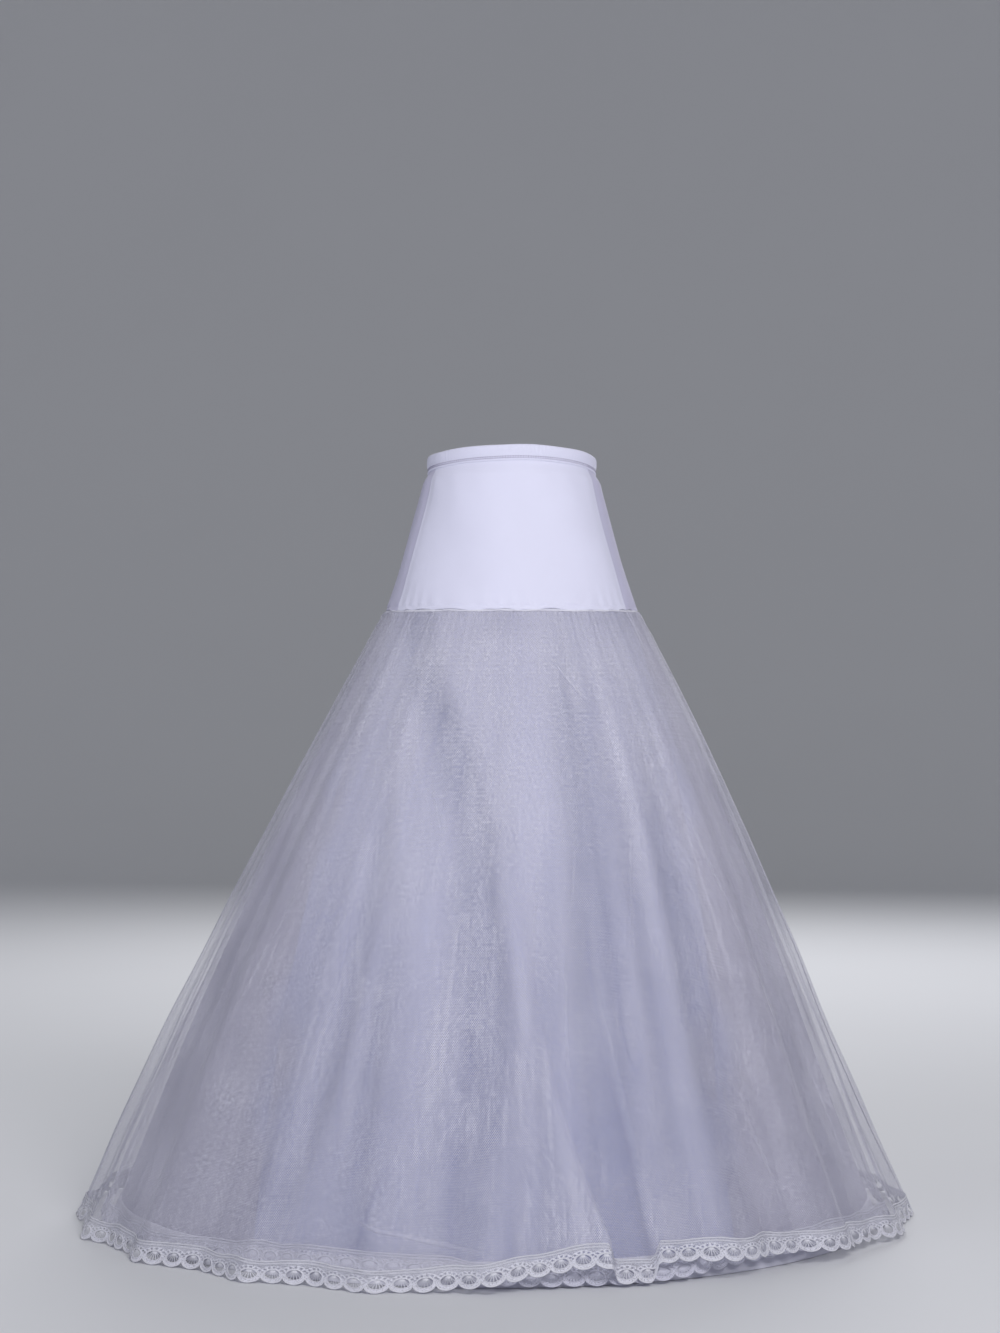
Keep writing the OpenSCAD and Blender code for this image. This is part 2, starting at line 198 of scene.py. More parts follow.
class Paint:
    """One node material: a Principled shader, and one method that adds any other node."""

    def __init__(self, name: str) -> None:
        """Starts an empty material."""
        self.material = bpy.data.materials.new(name)
        self.material.use_nodes = True
        self.tree = self.material.node_tree
        self.tree.nodes.clear()

    def node(
        self,
        kind: str,
        settings: dict[str, Any] | None = None,
        sockets: dict[Any, Any] | None = None,
    ) -> bpy.types.Node:
        """Adds a node.

        Args:
            kind: the node's type.
            settings: properties, set first.
            sockets: values or links of its inputs, by name or number.

        Returns:
            The node.
        """
        made = self.tree.nodes.new(kind)
        for key, setting in (settings or {}).items():
            setattr(made, key, setting)
        for key, value in (sockets or {}).items():
            target = made.inputs[key]
            if isinstance(value, Value):
                self.tree.links.new(value.socket, target)
            elif target.type == "RGBA":
                target.default_value = (*value, 1.0)[:4]
            else:
                target.default_value = value
        return made

    def value(self, node: bpy.types.Node, output: Any = 0) -> Value:
        """Returns one output of a node as a value."""
        return Value(self, node.outputs[output])

    def uv(self) -> Value:
        """Returns the piece's own UV map, which is in metres along the cloth."""
        return self.value(self.node("ShaderNodeTexCoord"), "UV")

    def mark(self, label: str) -> Value:
        """Returns a number that the piece's points carry."""
        return self.value(self.node("ShaderNodeAttribute", {"attribute_name": label}), "Fac")

    def joined(self, first: Value, second: Value) -> Value:
        """Returns two values as the first two parts of a vector."""
        return self.value(self.node("ShaderNodeCombineXYZ", None, {0: first, 1: second}))

    def place(self) -> Value:
        """Returns the object coordinates."""
        return self.value(self.node("ShaderNodeTexCoord"), "Object")

    def parts(self, vector: Value) -> tuple[Value, Value, Value]:
        """Returns a vector's three parts."""
        node = self.node("ShaderNodeSeparateXYZ", None, {0: vector})
        return self.value(node, 0), self.value(node, 1), self.value(node, 2)

    def noise(self, vector: Value, scale: Any, detail: float = 3.0, solid: bool = False) -> Value:
        """Returns soft noise from 0 to 1.

        Args:
            vector: the place on a cloth or in a solid.
            scale: patches per metre, as one number or as one for each direction.
            detail: how many finer layers the noise has.
            solid: the noise fills space, where otherwise it lies flat on a cloth.

        Returns:
            The noise.
        """
        if isinstance(scale, tuple):
            node = self.node("ShaderNodeVectorMath", {"operation": "MULTIPLY"}, {0: vector, 1: scale})
            vector, scale = self.value(node), 1.0
        settings = {"noise_dimensions": "3D" if solid else "2D"}
        sockets = {"Vector": vector, "Scale": scale, "Detail": detail}
        return self.value(self.node("ShaderNodeTexNoise", settings, sockets))

    def blend(self, share: Any, first: Any, second: Any) -> Value:
        """Returns a colour a share of the way from the first to the second."""
        node = self.node("ShaderNodeMix", {"data_type": "RGBA"}, {0: share, 6: first, 7: second})
        return self.value(node, 2)

    def shaded(self, share: Any, colour: Any, tint: Colour) -> Value:
        """Returns a colour that a share of a tint multiplies."""
        settings = {"data_type": "RGBA", "blend_type": "MULTIPLY"}
        return self.value(self.node("ShaderNodeMix", settings, {0: share, 6: colour, 7: tint}), 2)

    def relief(self, height: Value, depth: float) -> Value:
        """Returns the normal of a surface that stands depth metres proud where height is 1."""
        sockets = {"Strength": 1.0, "Distance": depth, "Height": height}
        return self.value(self.node("ShaderNodeBump", None, sockets))

    def honeycomb(self, vector: Value, cell: float) -> Value:
        """Returns the distance from a hexagon's side: 0 on the side, 0.5 in the middle of a cell.

        Two grids of points, shifted by half a step, each give the offset to their nearest point.
        The shorter offset is the one to the cell's middle, and its larger part along the hexagon's
        two directions is how near the side is.

        Args:
            vector: place on the cloth, in metres.
            cell: width of a cell, in metres.

        Returns:
            The distance, in cells.
        """
        tall = math.sqrt(3)
        along, up, _ = self.parts(vector)
        along, up = along / cell, up / (cell * tall)
        first = abs(along.fract() - 0.5), abs(up.fract() - 0.5) * tall
        second = abs((along - 0.5).fract() - 0.5), abs((up - 0.5).fract() - 0.5) * tall
        near = first[0] ** 2.0 + first[1] ** 2.0 < second[0] ** 2.0 + second[1] ** 2.0
        wide = first[0] * near + second[0] * (1.0 - near)
        high = first[1] * near + second[1] * (1.0 - near)
        return 0.5 - wide.most(wide * 0.5 + high * (tall / 2))

    def finish(self, **sockets: Any) -> bpy.types.Material:
        """Adds the Principled shader with these sockets and returns the material.

        Args:
            sockets: the shader's inputs, with _ for a space in a name.

        Returns:
            The material.
        """
        named = {key.replace("_", " "): value for key, value in sockets.items()}
        shader = self.node("ShaderNodeBsdfPrincipled", None, named)
        self.node("ShaderNodeOutputMaterial", None, {"Surface": self.value(shader)})
        return self.material


# Finishes


@dataclass(frozen=True)
class Finish(ABC):
    """A finish: its name, its main colour and the material that it makes."""

    name: str
    colour: Colour

    def material(self) -> bpy.types.Material:
        """Returns the finish's material, made at the first call."""
        return bpy.data.materials.get(self.name) or self.make(Paint(self.name))

    def darker(self, share: float) -> Colour:
        """Returns a share of the finish's colour."""
        return tuple(c * share for c in self.colour)

    @abstractmethod
    def make(self, paint: Paint) -> bpy.types.Material:
        """Returns a new material."""


@dataclass(frozen=True)
class KnitFinish(Finish):
    """Smooth stretch knit: fine ribs of loops with a soft sheen, and painted shade where it is marked."""

    rib: float = 0.0011
    dim: Colour | None = None

    def make(self, paint: Paint) -> bpy.types.Material:
        """Ribs are a sine across the cloth, and each rib's loops a faster sine along it."""
        uv = paint.uv()
        along, up, _ = paint.parts(uv)
        ribs = (along * (FULL_TURN / self.rib)).sine()
        loops = (up * (FULL_TURN / self.rib * 1.3) + ribs * 1.2).sine()
        cloud = paint.noise(uv, 14.0, 4.0)
        yarn = ribs * 0.35 + loops * 0.25 + cloud * 0.6
        colour = paint.blend((cloud * 0.8 + loops * 0.08).clamped(), self.darker(0.93), self.colour)
        # Painted shade: the marked share of the knit is multiplied by the dim tint.
        if self.dim:
            colour = paint.shaded(paint.mark("deep"), colour, self.dim)
        return paint.finish(
            Base_Color=colour,
            Roughness=0.5 + cloud * 0.14,
            Normal=paint.relief(yarn, 0.00012),
            Sheen_Weight=0.25,
            Sheen_Roughness=0.4,
        )


@dataclass(frozen=True)
class TaffetaFinish(Finish):
    """Plain woven lining: crossing threads, slubs and a dull satin gloss.

    The cloth turns to a second tone across the gore's seams. Painted light pales it towards the hip
    and on the crests, and painted shade darkens it in its folds, along the seams and towards the hem.
    """

    second: Colour
    bright: Colour
    shade: Colour = (0.52, 0.55, 0.66)
    thread: float = 0.0009

    def make(self, paint: Paint) -> bpy.types.Material:
        """The weave is the product of two sines, and slubs are noise drawn out along the threads."""
        uv = paint.uv()
        along, up, _ = paint.parts(uv)
        weave = (along * (FULL_TURN / self.thread)).sine() * (up * (FULL_TURN / self.thread)).sine()
        slubs = paint.noise(uv, (260.0, 18.0, 1.0), 2.0)
        cloud = paint.noise(uv, (14.0, 4.0, 1.0), 4.0)
        tone = (paint.mark("tone") + (cloud - 0.5) * 0.5).clamped()
        # Painted shade: the lining darkens towards the hem, where less light falls.
        foot = up.rise(0.25, 0.92) * 0.55
        # Painted shade in the marked folds and seams, with the hem's painted shade, random cloud and slubs.
        deep = (paint.mark("deep") * 0.9 + foot + (cloud - 0.5) * 0.5 + slubs * 0.1).clamped()
        # Painted light: paler towards the hip, more on the cool gores, with random cloud.
        high = (1.0 - up.rise(0.05, 0.66)) * (0.95 - tone * 0.6) + (cloud - 0.5) * 0.2
        # Painted highlight on the marked crests of the drawn folds.
        high = high + paint.mark("lit") * 0.6
        plain = paint.blend(tone, self.colour, self.second)
        light = paint.blend(high.clamped(), plain, self.bright)
        return paint.finish(
            Base_Color=paint.shaded(deep, light, self.shade),
            Roughness=0.36 + slubs * 0.2,
            Normal=paint.relief(weave * 0.5 + slubs * 0.8, 0.00015),
            Sheen_Weight=0.15,
        )


@dataclass(frozen=True)
class NetFinish(Finish):
    """Fine net: a honeycomb of threads with clear cells, denser where it is seen edge on."""

    cell: float = 0.0022
    haze: float = 0.04
    thread: float = 0.72
    wisps: float = 0.3
    gathered: float = 0.16

    def make(self, paint: Paint) -> bpy.types.Material:
        """The cells' sides are threads, thicker in wisps down the folds, clouds and the gathers."""
        uv = paint.uv()
        _, drop, _ = paint.parts(uv)
        side = paint.honeycomb(uv, self.cell)
        strands = 1.0 - side.rise(0.05, 0.13)
        fall = paint.joined(paint.mark("turn"), drop)
        cloud = paint.noise(uv, 9.0, 4.0)
        broad = paint.noise(fall, (24.0, 1.6, 1.0), 3.0)
        fine = paint.noise(fall, (150.0, 2.6, 1.0), 2.0).rise(0.56, 0.72)
        grain = paint.noise(uv, (300.0, 220.0, 1.0), 2.0) - 0.5
        crush = paint.noise(uv, (34.0, 7.0, 1.0), 4.0)
        patch = paint.noise(uv, 7.0)
        hairs = (1.0 - abs(crush - 0.5) * 2.0).rise(0.9, 1.0) * patch.rise(0.48, 0.66)
        lines = fine * cloud.rise(0.45, 0.62) * drop.rise(0.06, 0.3)
        wisps = (broad - 0.5) * 0.9 + lines * 0.28 + hairs * 0.28 + (cloud - 0.5) * 0.6 + grain * 1.7
        # Painted shadow under the hip seam, broken up by cloud; it darkens the tulle below.
        under = (1.0 - drop.rise(0.004, 0.06)) * cloud.rise(0.3, 0.7)
        gathers = (1.0 - drop.rise(0.0, 0.5)) * self.gathered
        layer = paint.node("ShaderNodeLayerWeight", None, {"Blend": 0.5})
        edge_on = paint.value(layer, "Facing") ** 6.0
        cover = strands * self.thread + self.haze + wisps * self.wisps + gathers
        cover = cover * paint.mark("dense")
        tulle = paint.blend((cloud * 0.6 + broad * 0.4).clamped(), self.darker(0.88), self.colour)
        return paint.finish(
            Base_Color=paint.shaded(under, tulle, (0.84, 0.84, 0.87)),
            Roughness=0.5 + broad * 0.25,
            Normal=paint.relief(strands, 0.0002),
            Alpha=(cover + edge_on * 0.5).clamped(),
        )


@dataclass(frozen=True)
class LaceFinish(Finish):
    """Edging lace: close satin stitch below each eyelet, small holes and a clear net above it."""

    pitch: float = 0.0287
    eyelet: tuple[float, float] = (0.0104, 0.0058)
    eyelet_up: float = 0.0106

    def make(self, paint: Paint) -> bpy.types.Material:
        """Places are measured in eyelets from its middle: 1 is its rim.

        Stitches and holes are sines around the eyelet, the holes only in an arc above it.
        """
        uv = paint.uv()
        along, up, _ = paint.parts(uv)
        across = ((along / self.pitch).fract() - 0.5) * (self.pitch / self.eyelet[0])
        rise = (up - self.eyelet_up) / self.eyelet[1]
        ring = (across ** 2.0 + rise ** 2.0) ** 0.5
        turn = ring.maths("ARCTAN2", rise, across)
        upper = rise.rise(0.0, 0.5)
        holes = (turn * 14.0).sine().rise(-0.1, 0.4) * ring.rise(1.2, 1.28) * (1.0 - ring.rise(1.5, 1.6))
        ground = paint.honeycomb(uv, 0.0019).rise(0.09, 0.18) * ring.rise(1.7, 1.8)
        specks = paint.noise(uv, 620.0, 2.0).rise(0.56, 0.66)
        clear = ((holes + ground * 0.9) * upper + specks * 0.55).clamped()
        stitch = (turn * 46.0).sine() * 0.5 + 0.5
        thread = paint.noise(uv, (900.0, 2600.0, 1.0), 2.0) * 0.6 + stitch * 0.4
        return paint.finish(
            Base_Color=paint.blend(thread, self.darker(0.84), self.colour),
            Roughness=0.5 + thread * 0.2,
            Normal=paint.relief(thread - clear * 0.8, 0.0004),
            Alpha=1.0 - clear * 0.88,
        )


@dataclass(frozen=True)
class ThreadFinish(Finish):
    """Twisted thread, for cords and stitches."""

    twist: float = 0.0016

    def make(self, paint: Paint) -> bpy.types.Material:
        """The twist is a sine that runs slantwise over the thread."""
        along, up, _ = paint.parts(paint.uv())
        strands = (along * (FULL_TURN / self.twist) + up * (FULL_TURN / self.twist)).sine()
        fuzz = paint.noise(paint.place(), 900.0, 2.0, solid=True)
        return paint.finish(
            Base_Color=paint.blend((strands * 0.3 + fuzz * 0.7).clamped(), self.darker(0.82), self.colour),
            Roughness=0.5 + fuzz * 0.2,
            Normal=paint.relief(strands * 0.5 + fuzz, 0.0002),
            Sheen_Weight=0.2,
        )


@dataclass(frozen=True)
class SatinFinish(Finish):
    """Casing satin: long floats of thread with a soft gloss."""

    def make(self, paint: Paint) -> bpy.types.Material:
        """Floats are noise drawn out along the casing."""
        uv = paint.uv()
        floats = paint.noise(uv, (60.0, 1400.0, 1.0), 2.0)
        cloud = paint.noise(uv, 22.0, 3.0)
        return paint.finish(
            Base_Color=paint.blend((floats * 0.6 + cloud * 0.4).clamped(), self.darker(0.88), self.colour),
            Roughness=0.34 + floats * 0.2,
            Normal=paint.relief(floats, 0.0002),
            Sheen_Weight=0.15,
        )


@dataclass(frozen=True)
class ElasticFinish(Finish):
    """Woven elastic: cords of rubber side by side under a thread cover."""

    def make(self, paint: Paint) -> bpy.types.Material:
        """Cords are a sine up the band, crossed by the cover's fine noise."""
        place = paint.place()
        _, _, up = paint.parts(place)
        cords = (up * (FULL_TURN / 0.0022)).sine()
        cover = paint.noise(place, 1200.0, 2.0, solid=True)
        return paint.finish(
            Base_Color=paint.blend((cords * 0.3 + cover * 0.7).clamped(), self.darker(0.8), self.colour),
            Roughness=0.6 + cover * 0.2,
            Normal=paint.relief(cords * 0.5 + cover * 0.4, 0.0004),
        )


@dataclass(frozen=True)
class CoatedSteelFinish(Finish):
    """Hoop steel under a thin white coating with small rubs."""

    def make(self, paint: Paint) -> bpy.types.Material:
        """Rubs are the peaks of a broad and a fine noise."""
        place = paint.place()
        broad = paint.noise(place, 90.0, 4.0, solid=True)
        fine = paint.noise(place, 700.0, 2.0, solid=True)
        rubs = (broad * 0.6 + fine * 0.4).rise(0.6, 0.68)
        skin = paint.noise(place, 420.0, 3.0, solid=True)
        return paint.finish(
            Base_Color=paint.blend(rubs, self.colour, self.darker(0.55)),
            Roughness=0.3 + skin * 0.15,
            Metallic=rubs * 0.8,
            Normal=paint.relief(skin - rubs * 0.5, 0.0001),
        )


@dataclass(frozen=True)
class CrimpSteelFinish(Finish):
    """Bare crimped sleeve: drawn steel with fine scratches and dull patches."""

    def make(self, paint: Paint) -> bpy.types.Material:
        """Scratches are noise drawn out along the sleeve, and patches are broad noise."""
        place = paint.place()
        drawn = paint.noise(place, (60.0, 2200.0, 2200.0), 2.0, solid=True)
        patches = paint.noise(place, 160.0, 3.0, solid=True)
        return paint.finish(
            Base_Color=paint.blend(patches, self.darker(0.7), self.colour),
            Roughness=0.22 + drawn * 0.2 + patches * 0.1,
            Normal=paint.relief(drawn, 0.00005),
            Metallic=1.0,
        )


@dataclass(frozen=True)
class FloorFinish(Finish):
    """Plain matt studio floor."""

    def make(self, paint: Paint) -> bpy.types.Material:
        """A faint cloud keeps the floor from being dead flat."""
        cloud = paint.noise(paint.place(), 1.2, 3.0, solid=True)
        return paint.finish(
            Base_Color=paint.blend(cloud, self.darker(0.97), self.colour),
            Roughness=0.85,
            Specular_IOR_Level=0.1,
        )


# Meshes


class Patchwork:
    """Grids of quads that are gathered into one mesh."""

    def __init__(self) -> None:
        """Starts with no grids."""
        self.points: list[Array] = []
        self.corners: list[Array] = []
        self.uvs: list[Array] = []
        self.count = 0

    def faces(self, corners: Array, uv: Array, start: int) -> None:
        """Adds quads whose corners are numbers of points from start on, with a UV for each corner."""
        self.corners.append(corners.ravel() + start)
        self.uvs.append(uv.reshape(-1, 2))

    def grid(self, points: Array, uv: Array, rows_close: bool = False, cols_close: bool = False) -> None:
        """Adds grids of quads, whose faces point along (to the next row) x (to the next column).

        Args:
            points: rows by columns of places, of one grid or a stack of like grids.
            uv: a UV for every point, with one more row or column where that way closes. One grid's
                UV serves a whole stack.
            rows_close: the last row joins the first.
            cols_close: the last column joins the first.
        """
        rows, cols = points.shape[-3:-1]
        i, j = np.mgrid[0 : rows - 1 + rows_close, 0 : cols - 1 + cols_close]
        i, j = np.stack([i, i + 1, i + 1, i], -1), np.stack([j, j, j + 1, j + 1], -1)
        points = points.reshape(-1, rows * cols, 3)
        start = np.arange(len(points))[:, None, None, None] * rows * cols
        corners = start + (i % rows) * cols + j % cols
        self.faces(corners, np.broadcast_to(uv[..., i, j, :], (*corners.shape, 2)), self.count)
        self.points.append(points.reshape(-1, 3))
        self.count += points.size // 3

    def shell(self, outer: Array, inner: Array, uv: Array) -> None:
        """Adds a closed cloth: down the outer grid, up the inner one, and a cap at both ends.

        Args:
            outer: rows by columns of places, rows running down.
            inner: the same grid on the cloth's other face.
            uv: a UV for every point of one face.
        """
        rows, cols = outer.shape[:2]
        start, k = self.count, np.arange(rows - 1)
        loop_uv = np.concatenate([uv, uv[::-1], uv[:1]])
        self.grid(np.concatenate([outer, inner[::-1]]), loop_uv, rows_close=True)
        front, back = k * cols, (2 * rows - 1 - k) * cols
        left = np.stack([back, back - cols, front + cols, front], -1)
        end_uv = np.stack([uv[k, 0], uv[k + 1, 0], uv[k + 1, 0], uv[k, 0]], 1)
        self.faces(left, end_uv, start)
        self.faces(left[:, ::-1] + cols - 1, end_uv[:, ::-1], start)

    def build(
        self,
        name: str,
        merge: float = 0.0,
        marks: dict[str, Array] | None = None,
        cut_edges: bool = False,
    ) -> bpy.types.Object:
        """Makes the object.

        Args:
            name: the piece's name.
            merge: points closer than this become one.
            marks: numbers for every point that the material reads, by name.
            cut_edges: edges where the cloth is cut stay sharp.

        Returns:
            The object, smooth shaded, at the origin.
        """
        mesh = bpy.data.meshes.new(name)
        corners = np.concatenate(self.corners)
        quads = len(corners) // 4
        mesh.vertices.add(self.count)
        mesh.vertices.foreach_set("co", np.concatenate(self.points).astype(np.float32).ravel())
        mesh.loops.add(len(corners))
        mesh.loops.foreach_set("vertex_index", corners.astype(np.int32))
        mesh.polygons.add(quads)
        mesh.polygons.foreach_set("loop_start", np.arange(quads, dtype=np.int32) * 4)
        layer = mesh.uv_layers.new(name="cloth")
        mesh.update(calc_edges=True)
        layer.data.foreach_set("uv", np.concatenate(self.uvs).astype(np.float32).ravel())
        mesh.polygons.foreach_set("use_smooth", np.ones(quads, bool))
        for label, numbers in (marks or {}).items():
            mark = mesh.attributes.new(label, "FLOAT", "POINT")
            mark.data.foreach_set("value", numbers.astype(np.float32).ravel())
        if merge:
            work = bmesh.new()
            work.from_mesh(mesh)
            bmesh.ops.remove_doubles(work, verts=work.verts, dist=merge)
            work.to_mesh(mesh)
            work.free()
        mesh.validate()
        if cut_edges:
            mesh.set_sharp_from_angle(angle=CUT_EDGE)
        piece = bpy.data.objects.new(name, mesh)
        bpy.context.scene.collection.objects.link(piece)
        return piece


def dress(piece: bpy.types.Object, finish: Finish, slot: Slot, *nodes: str) -> bpy.types.Object:
    """Gives a piece its finish, its body and the nodes it stands for.

    Args:
        piece: the new piece.
        finish: its finish.
        slot: the record's slot that the finish belongs to; not used.
        nodes: CAD nodes that the piece replaces.

    Returns:
        The piece.
    """
    piece.data.materials.append(finish.material())
    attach(piece, "root")
    if nodes:
        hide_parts(*nodes)
    LOG.info("%s: %d faces, %s", piece.name, len(piece.data.polygons), finish.name)
    return piece


def squared_ring(turn: Array, width: float, height: float, power: float) -> tuple[Array, Array]:
    """Returns a rounded rectangle round the origin, running down its outer side first.

    Across is half the width times cos, and up minus half the height times sin, each raised to
    2 / power with its sign kept.

    Args:
        turn: angles around the section.
        width: across.
        height: up.
        power: 2 is an ellipse, larger is squarer.

    Returns:
        Places across and up.
    """
    cos, sin = np.cos(turn), np.sin(turn)
    across = np.sign(cos) * np.abs(cos) ** (2 / power) * width / 2
    up = -np.sign(sin) * np.abs(sin) ** (2 / power) * height / 2
    return across, up


def rolled(
    surface: Callable[[Array, Array], Array], columns: int, around: int, flat: tuple[float, float]
) -> Patchwork:
    """Returns a closed section that is carried all the way round.

    Args:
        surface: gives places for directions and for angles around the section.
        columns: points round the skirt.
        around: points around the section.
        flat: the lengths of its cloth round the skirt and around the section.

    Returns:
        The mesh.
    """
    work = Patchwork()
    uv = lattice(np.linspace(0, flat[0], columns + 1), np.linspace(0, flat[1], around + 1))
    points = surface(turns(columns)[None, :], turns(around)[:, None])
    work.grid(points, uv, rows_close=True, cols_close=True)
    return work


# The skirt's shape


@dataclass(frozen=True)
class SkirtForm:
    """The shape under every layer of the skirt: an ellipse at the hip, a circle at the hem."""

    hip: tuple[float, float] = (0.348, 0.264)
    hem: float = 1.060
    height: float = 0.838
    casing: float = 0.034
    sway: float = 0.024
    bulge: float = 0.012
    bulge_place: float = 0.75
    waist_axis: tuple[float, float] = field(default_factory=lambda: middle("waistband_casing"))

    def opening(self, z: Array) -> Array:
        """Returns 0 at the hip and 1 at the floor."""
        return 1 - z / self.height

    def roundness(self, z: Array) -> Array:
        """Returns 0 at the hip and 1 from the casing down."""
        return np.minimum((self.height - z) / (self.height - self.casing), 1)

    def radius(self, z: Array) -> Array:
        """Returns half the lining's width, without its bow."""
        return mix(self.hip[0], self.hem, self.opening(z)) / 2

    def oval(self, angle: Array, half_w: Array, half_d: Array, z: Array) -> Array:
        """Returns points on an ellipse: sin times half the width, minus cos times half the depth."""
        angle, half_w, half_d, z = np.broadcast_arrays(angle, half_w, half_d, z)
        x = self.waist_axis[0] + np.sin(angle) * half_w
        y = self.waist_axis[1] - np.cos(angle) * half_d
        return np.stack([x, y, z], -1)

    def point(self, angle: Array, z: Array, stand_off: Array) -> Array:
        """Returns points on the skirt.

        The width opens evenly from the hip to the hem with a bow that is fullest above the middle,
        the depth catches up with it at the casing, and each level eases left by the sway.

        Args:
            angle: direction from the front.
            z: height.
            stand_off: distance out from the lining.

        Returns:
            Places.
        """
        share, round_share = self.opening(z), self.roundness(z)
        bow = self.bulge * np.sin(np.pi * np.clip(share, 0, 1) ** self.bulge_place)
        half_w = self.radius(z) + bow
        half_d = half_w - (self.hip[0] - self.hip[1]) / 2 * (1 - round_share)
        spot = self.oval(angle, half_w + stand_off, half_d + stand_off, z)
        spot[..., 0] -= self.sway * ease(round_share)
        return spot

    def flat(self, angle: Array, z: Array, centre: float) -> Array:
        """Returns the cloth's UV in metres: arc length from a panel's centre line, and drop."""
        angle, radius, z = np.broadcast_arrays(angle, self.radius(z), z)
        return np.stack([(angle - centre) * radius, (self.height - z) * 1.1], -1)


@dataclass(frozen=True)
class WaistForm:
    """The waist's slanting ellipse, higher at the front, and the yoke that widens from it."""

    skirt: SkirtForm
    waist: tuple[float, float] = (0.236, 0.184)
    low: float = 0.8463
    height: float = 0.168
    rise: float = 0.030
    curve: float = 1.15
    swell: float = 0.005
    swell_share: float = 0.08
    tucked: float = 0.0011

    def edge(self, angle: Array) -> Array:
        """Returns the height of the waistband's lower edge."""
        return self.low + self.height + self.rise * (1 + np.cos(angle)) / 2

    def band(self, angle: Array, out: Array, up: Array) -> Array:
        """Returns points on the waistband, out from its outer face and up from its lower edge."""
        half_w, half_d = self.waist[0] / 2 + out, self.waist[1] / 2 + out
        return self.skirt.oval(angle, half_w, half_d, self.edge(angle) + up)

    def yoke(self, angle: Array, share: Array, out: Array) -> Array:
        """Returns points on the yoke: share 0 is the hip seam and 1 the waistband's lower edge."""
        opened = (1 - share) ** self.curve
        out = out + self.swell * share * ease((1 - share) / self.swell_share)
        half_w = mix(self.waist[0] / 2 - self.tucked, self.skirt.hip[0] / 2, opened) + out
        half_d = mix(self.waist[1] / 2 - self.tucked, self.skirt.hip[1] / 2, opened) + out
        return self.skirt.oval(angle, half_w, half_d, mix(self.low, self.edge(angle), share))


# Sub-assemblies


@dataclass
class StitchRow:
    """A row of stitches along a closed path, each a short plump thread."""

    name: str
    finish: ThreadFinish
    path: Callable[[Array], Array]
    count: int
    radius: float = 0.0004
    share: float = 0.72
    flatness: float = 0.6
    steps: int = 6
    sides: int = 6

    def build(self) -> bpy.types.Object:
        """Carries a tapered profile along each stitch's stretch of the path.

        Around a stitch the points lie at radius times (cos up, flatness times sin out), and the
        radius fades to nothing at both ends.

        Returns:
            The row of stitches.
        """
        along = np.linspace(-0.5, 0.5, self.steps)
        angle = (np.arange(self.count)[:, None] + 0.5 + along * self.share) * FULL_TURN / self.count
        centre = self.path(angle)
        tangent = unit(self.path(angle + 1e-4) - self.path(angle - 1e-4))
        out = unit(np.stack([np.sin(angle), -np.cos(angle), 0 * angle], -1))
        up = unit(np.cross(out, tangent))
        out = np.cross(tangent, up)
        taper = np.sqrt(np.maximum(1 - (2 * along) ** 4, 1e-4))[None, :, None, None]
        turn = turns(self.sides)[:, None]
        ring = np.cos(turn) * up[:, :, None] + self.flatness * np.sin(turn) * out[:, :, None]
        points = np.swapaxes(centre[:, :, None] + self.radius * taper * ring, 1, 2)
        uv = lattice(np.arange(self.steps) * 0.0008, np.arange(self.sides + 1) * 0.0004)
        work = Patchwork()
        work.grid(points, uv, rows_close=True)
        return dress(work.build(self.name, merge=2e-5), self.finish, Slot.THREAD)


@dataclass
class Waistband:
    """The folded knit casing over the elastic, with a twin row of stitches at its lower edge."""

    form: WaistForm
    knit: KnitFinish
    thread: ThreadFinish
    elastic: ElasticFinish
    height: float = 0.022
    thickness: float = 0.0038
    stitch_up: float = 0.0048
    twin: float = 0.0012
    stitches: int = 208
    stitch_radius: float = 0.0007
    columns: int = 480
    around: int = 40
    flat: tuple[float, float] = (0.66, 0.052)

    def surface(self, angle: Array, turn: Array) -> Array:
        """Returns points on the casing.

        The section is a rounded rectangle. Its outer side dips along the stitches, swells over the
        elastic, and gathers in fine upright ripples.

        Args:
            angle: direction from the front.
            turn: angle around the section.

        Returns:
            Places.
        """
        across, up = squared_ring(turn, self.thickness, self.height, 7.0)
        outside = ease((across + self.thickness / 2) / self.thickness)
        dip = -0.0014 * bell(up + self.height / 2 - self.stitch_up, 0.0020)
        swell = 0.0006 * bell(up - 0.003, 0.006)
        ripple = 0.00022 * waves(angle, 150, 2.2, 11) * (1 + 0.6 * np.sin(5 * angle))
        slump = 0.0007 * np.sin(3 * angle + 0.5) + 0.0004 * np.sin(8 * angle)
        out = across - self.thickness / 2 + outside * (dip + swell + ripple)
        return self.form.band(angle, out, up + self.height / 2 + slump * outside)

    def row(self, up: float) -> Callable[[Array], Array]:
        """Returns the path of a row of stitches at a height on the outer face."""
        return lambda angle: self.form.band(angle, -0.0008, up + 0.0007 * np.sin(3 * angle + 0.5))

    def build(self) -> None:
        """Builds the casing and its stitches, and dresses the elastic inside."""
        work = rolled(self.surface, self.columns, self.around, self.flat)
        dress(work.build("waistband_knit"), self.knit, Slot.KNIT, "waistband_casing")
        for label, up in (("lower", self.stitch_up - self.twin), ("upper", self.stitch_up + self.twin)):
            name = f"waist_stitches_{label}"
            StitchRow(name, self.thread, self.row(up), self.stitches, self.stitch_radius).build()
        recoat("waist_elastic", self.elastic)


def recoat(node: str, finish: Finish) -> None:
    """Gives a CAD node that stays in view a finish of its own."""
    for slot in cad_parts[node].material_slots:
        slot.material = finish.material()
    LOG.info("%s: solid kept, %s", node, finish.name)


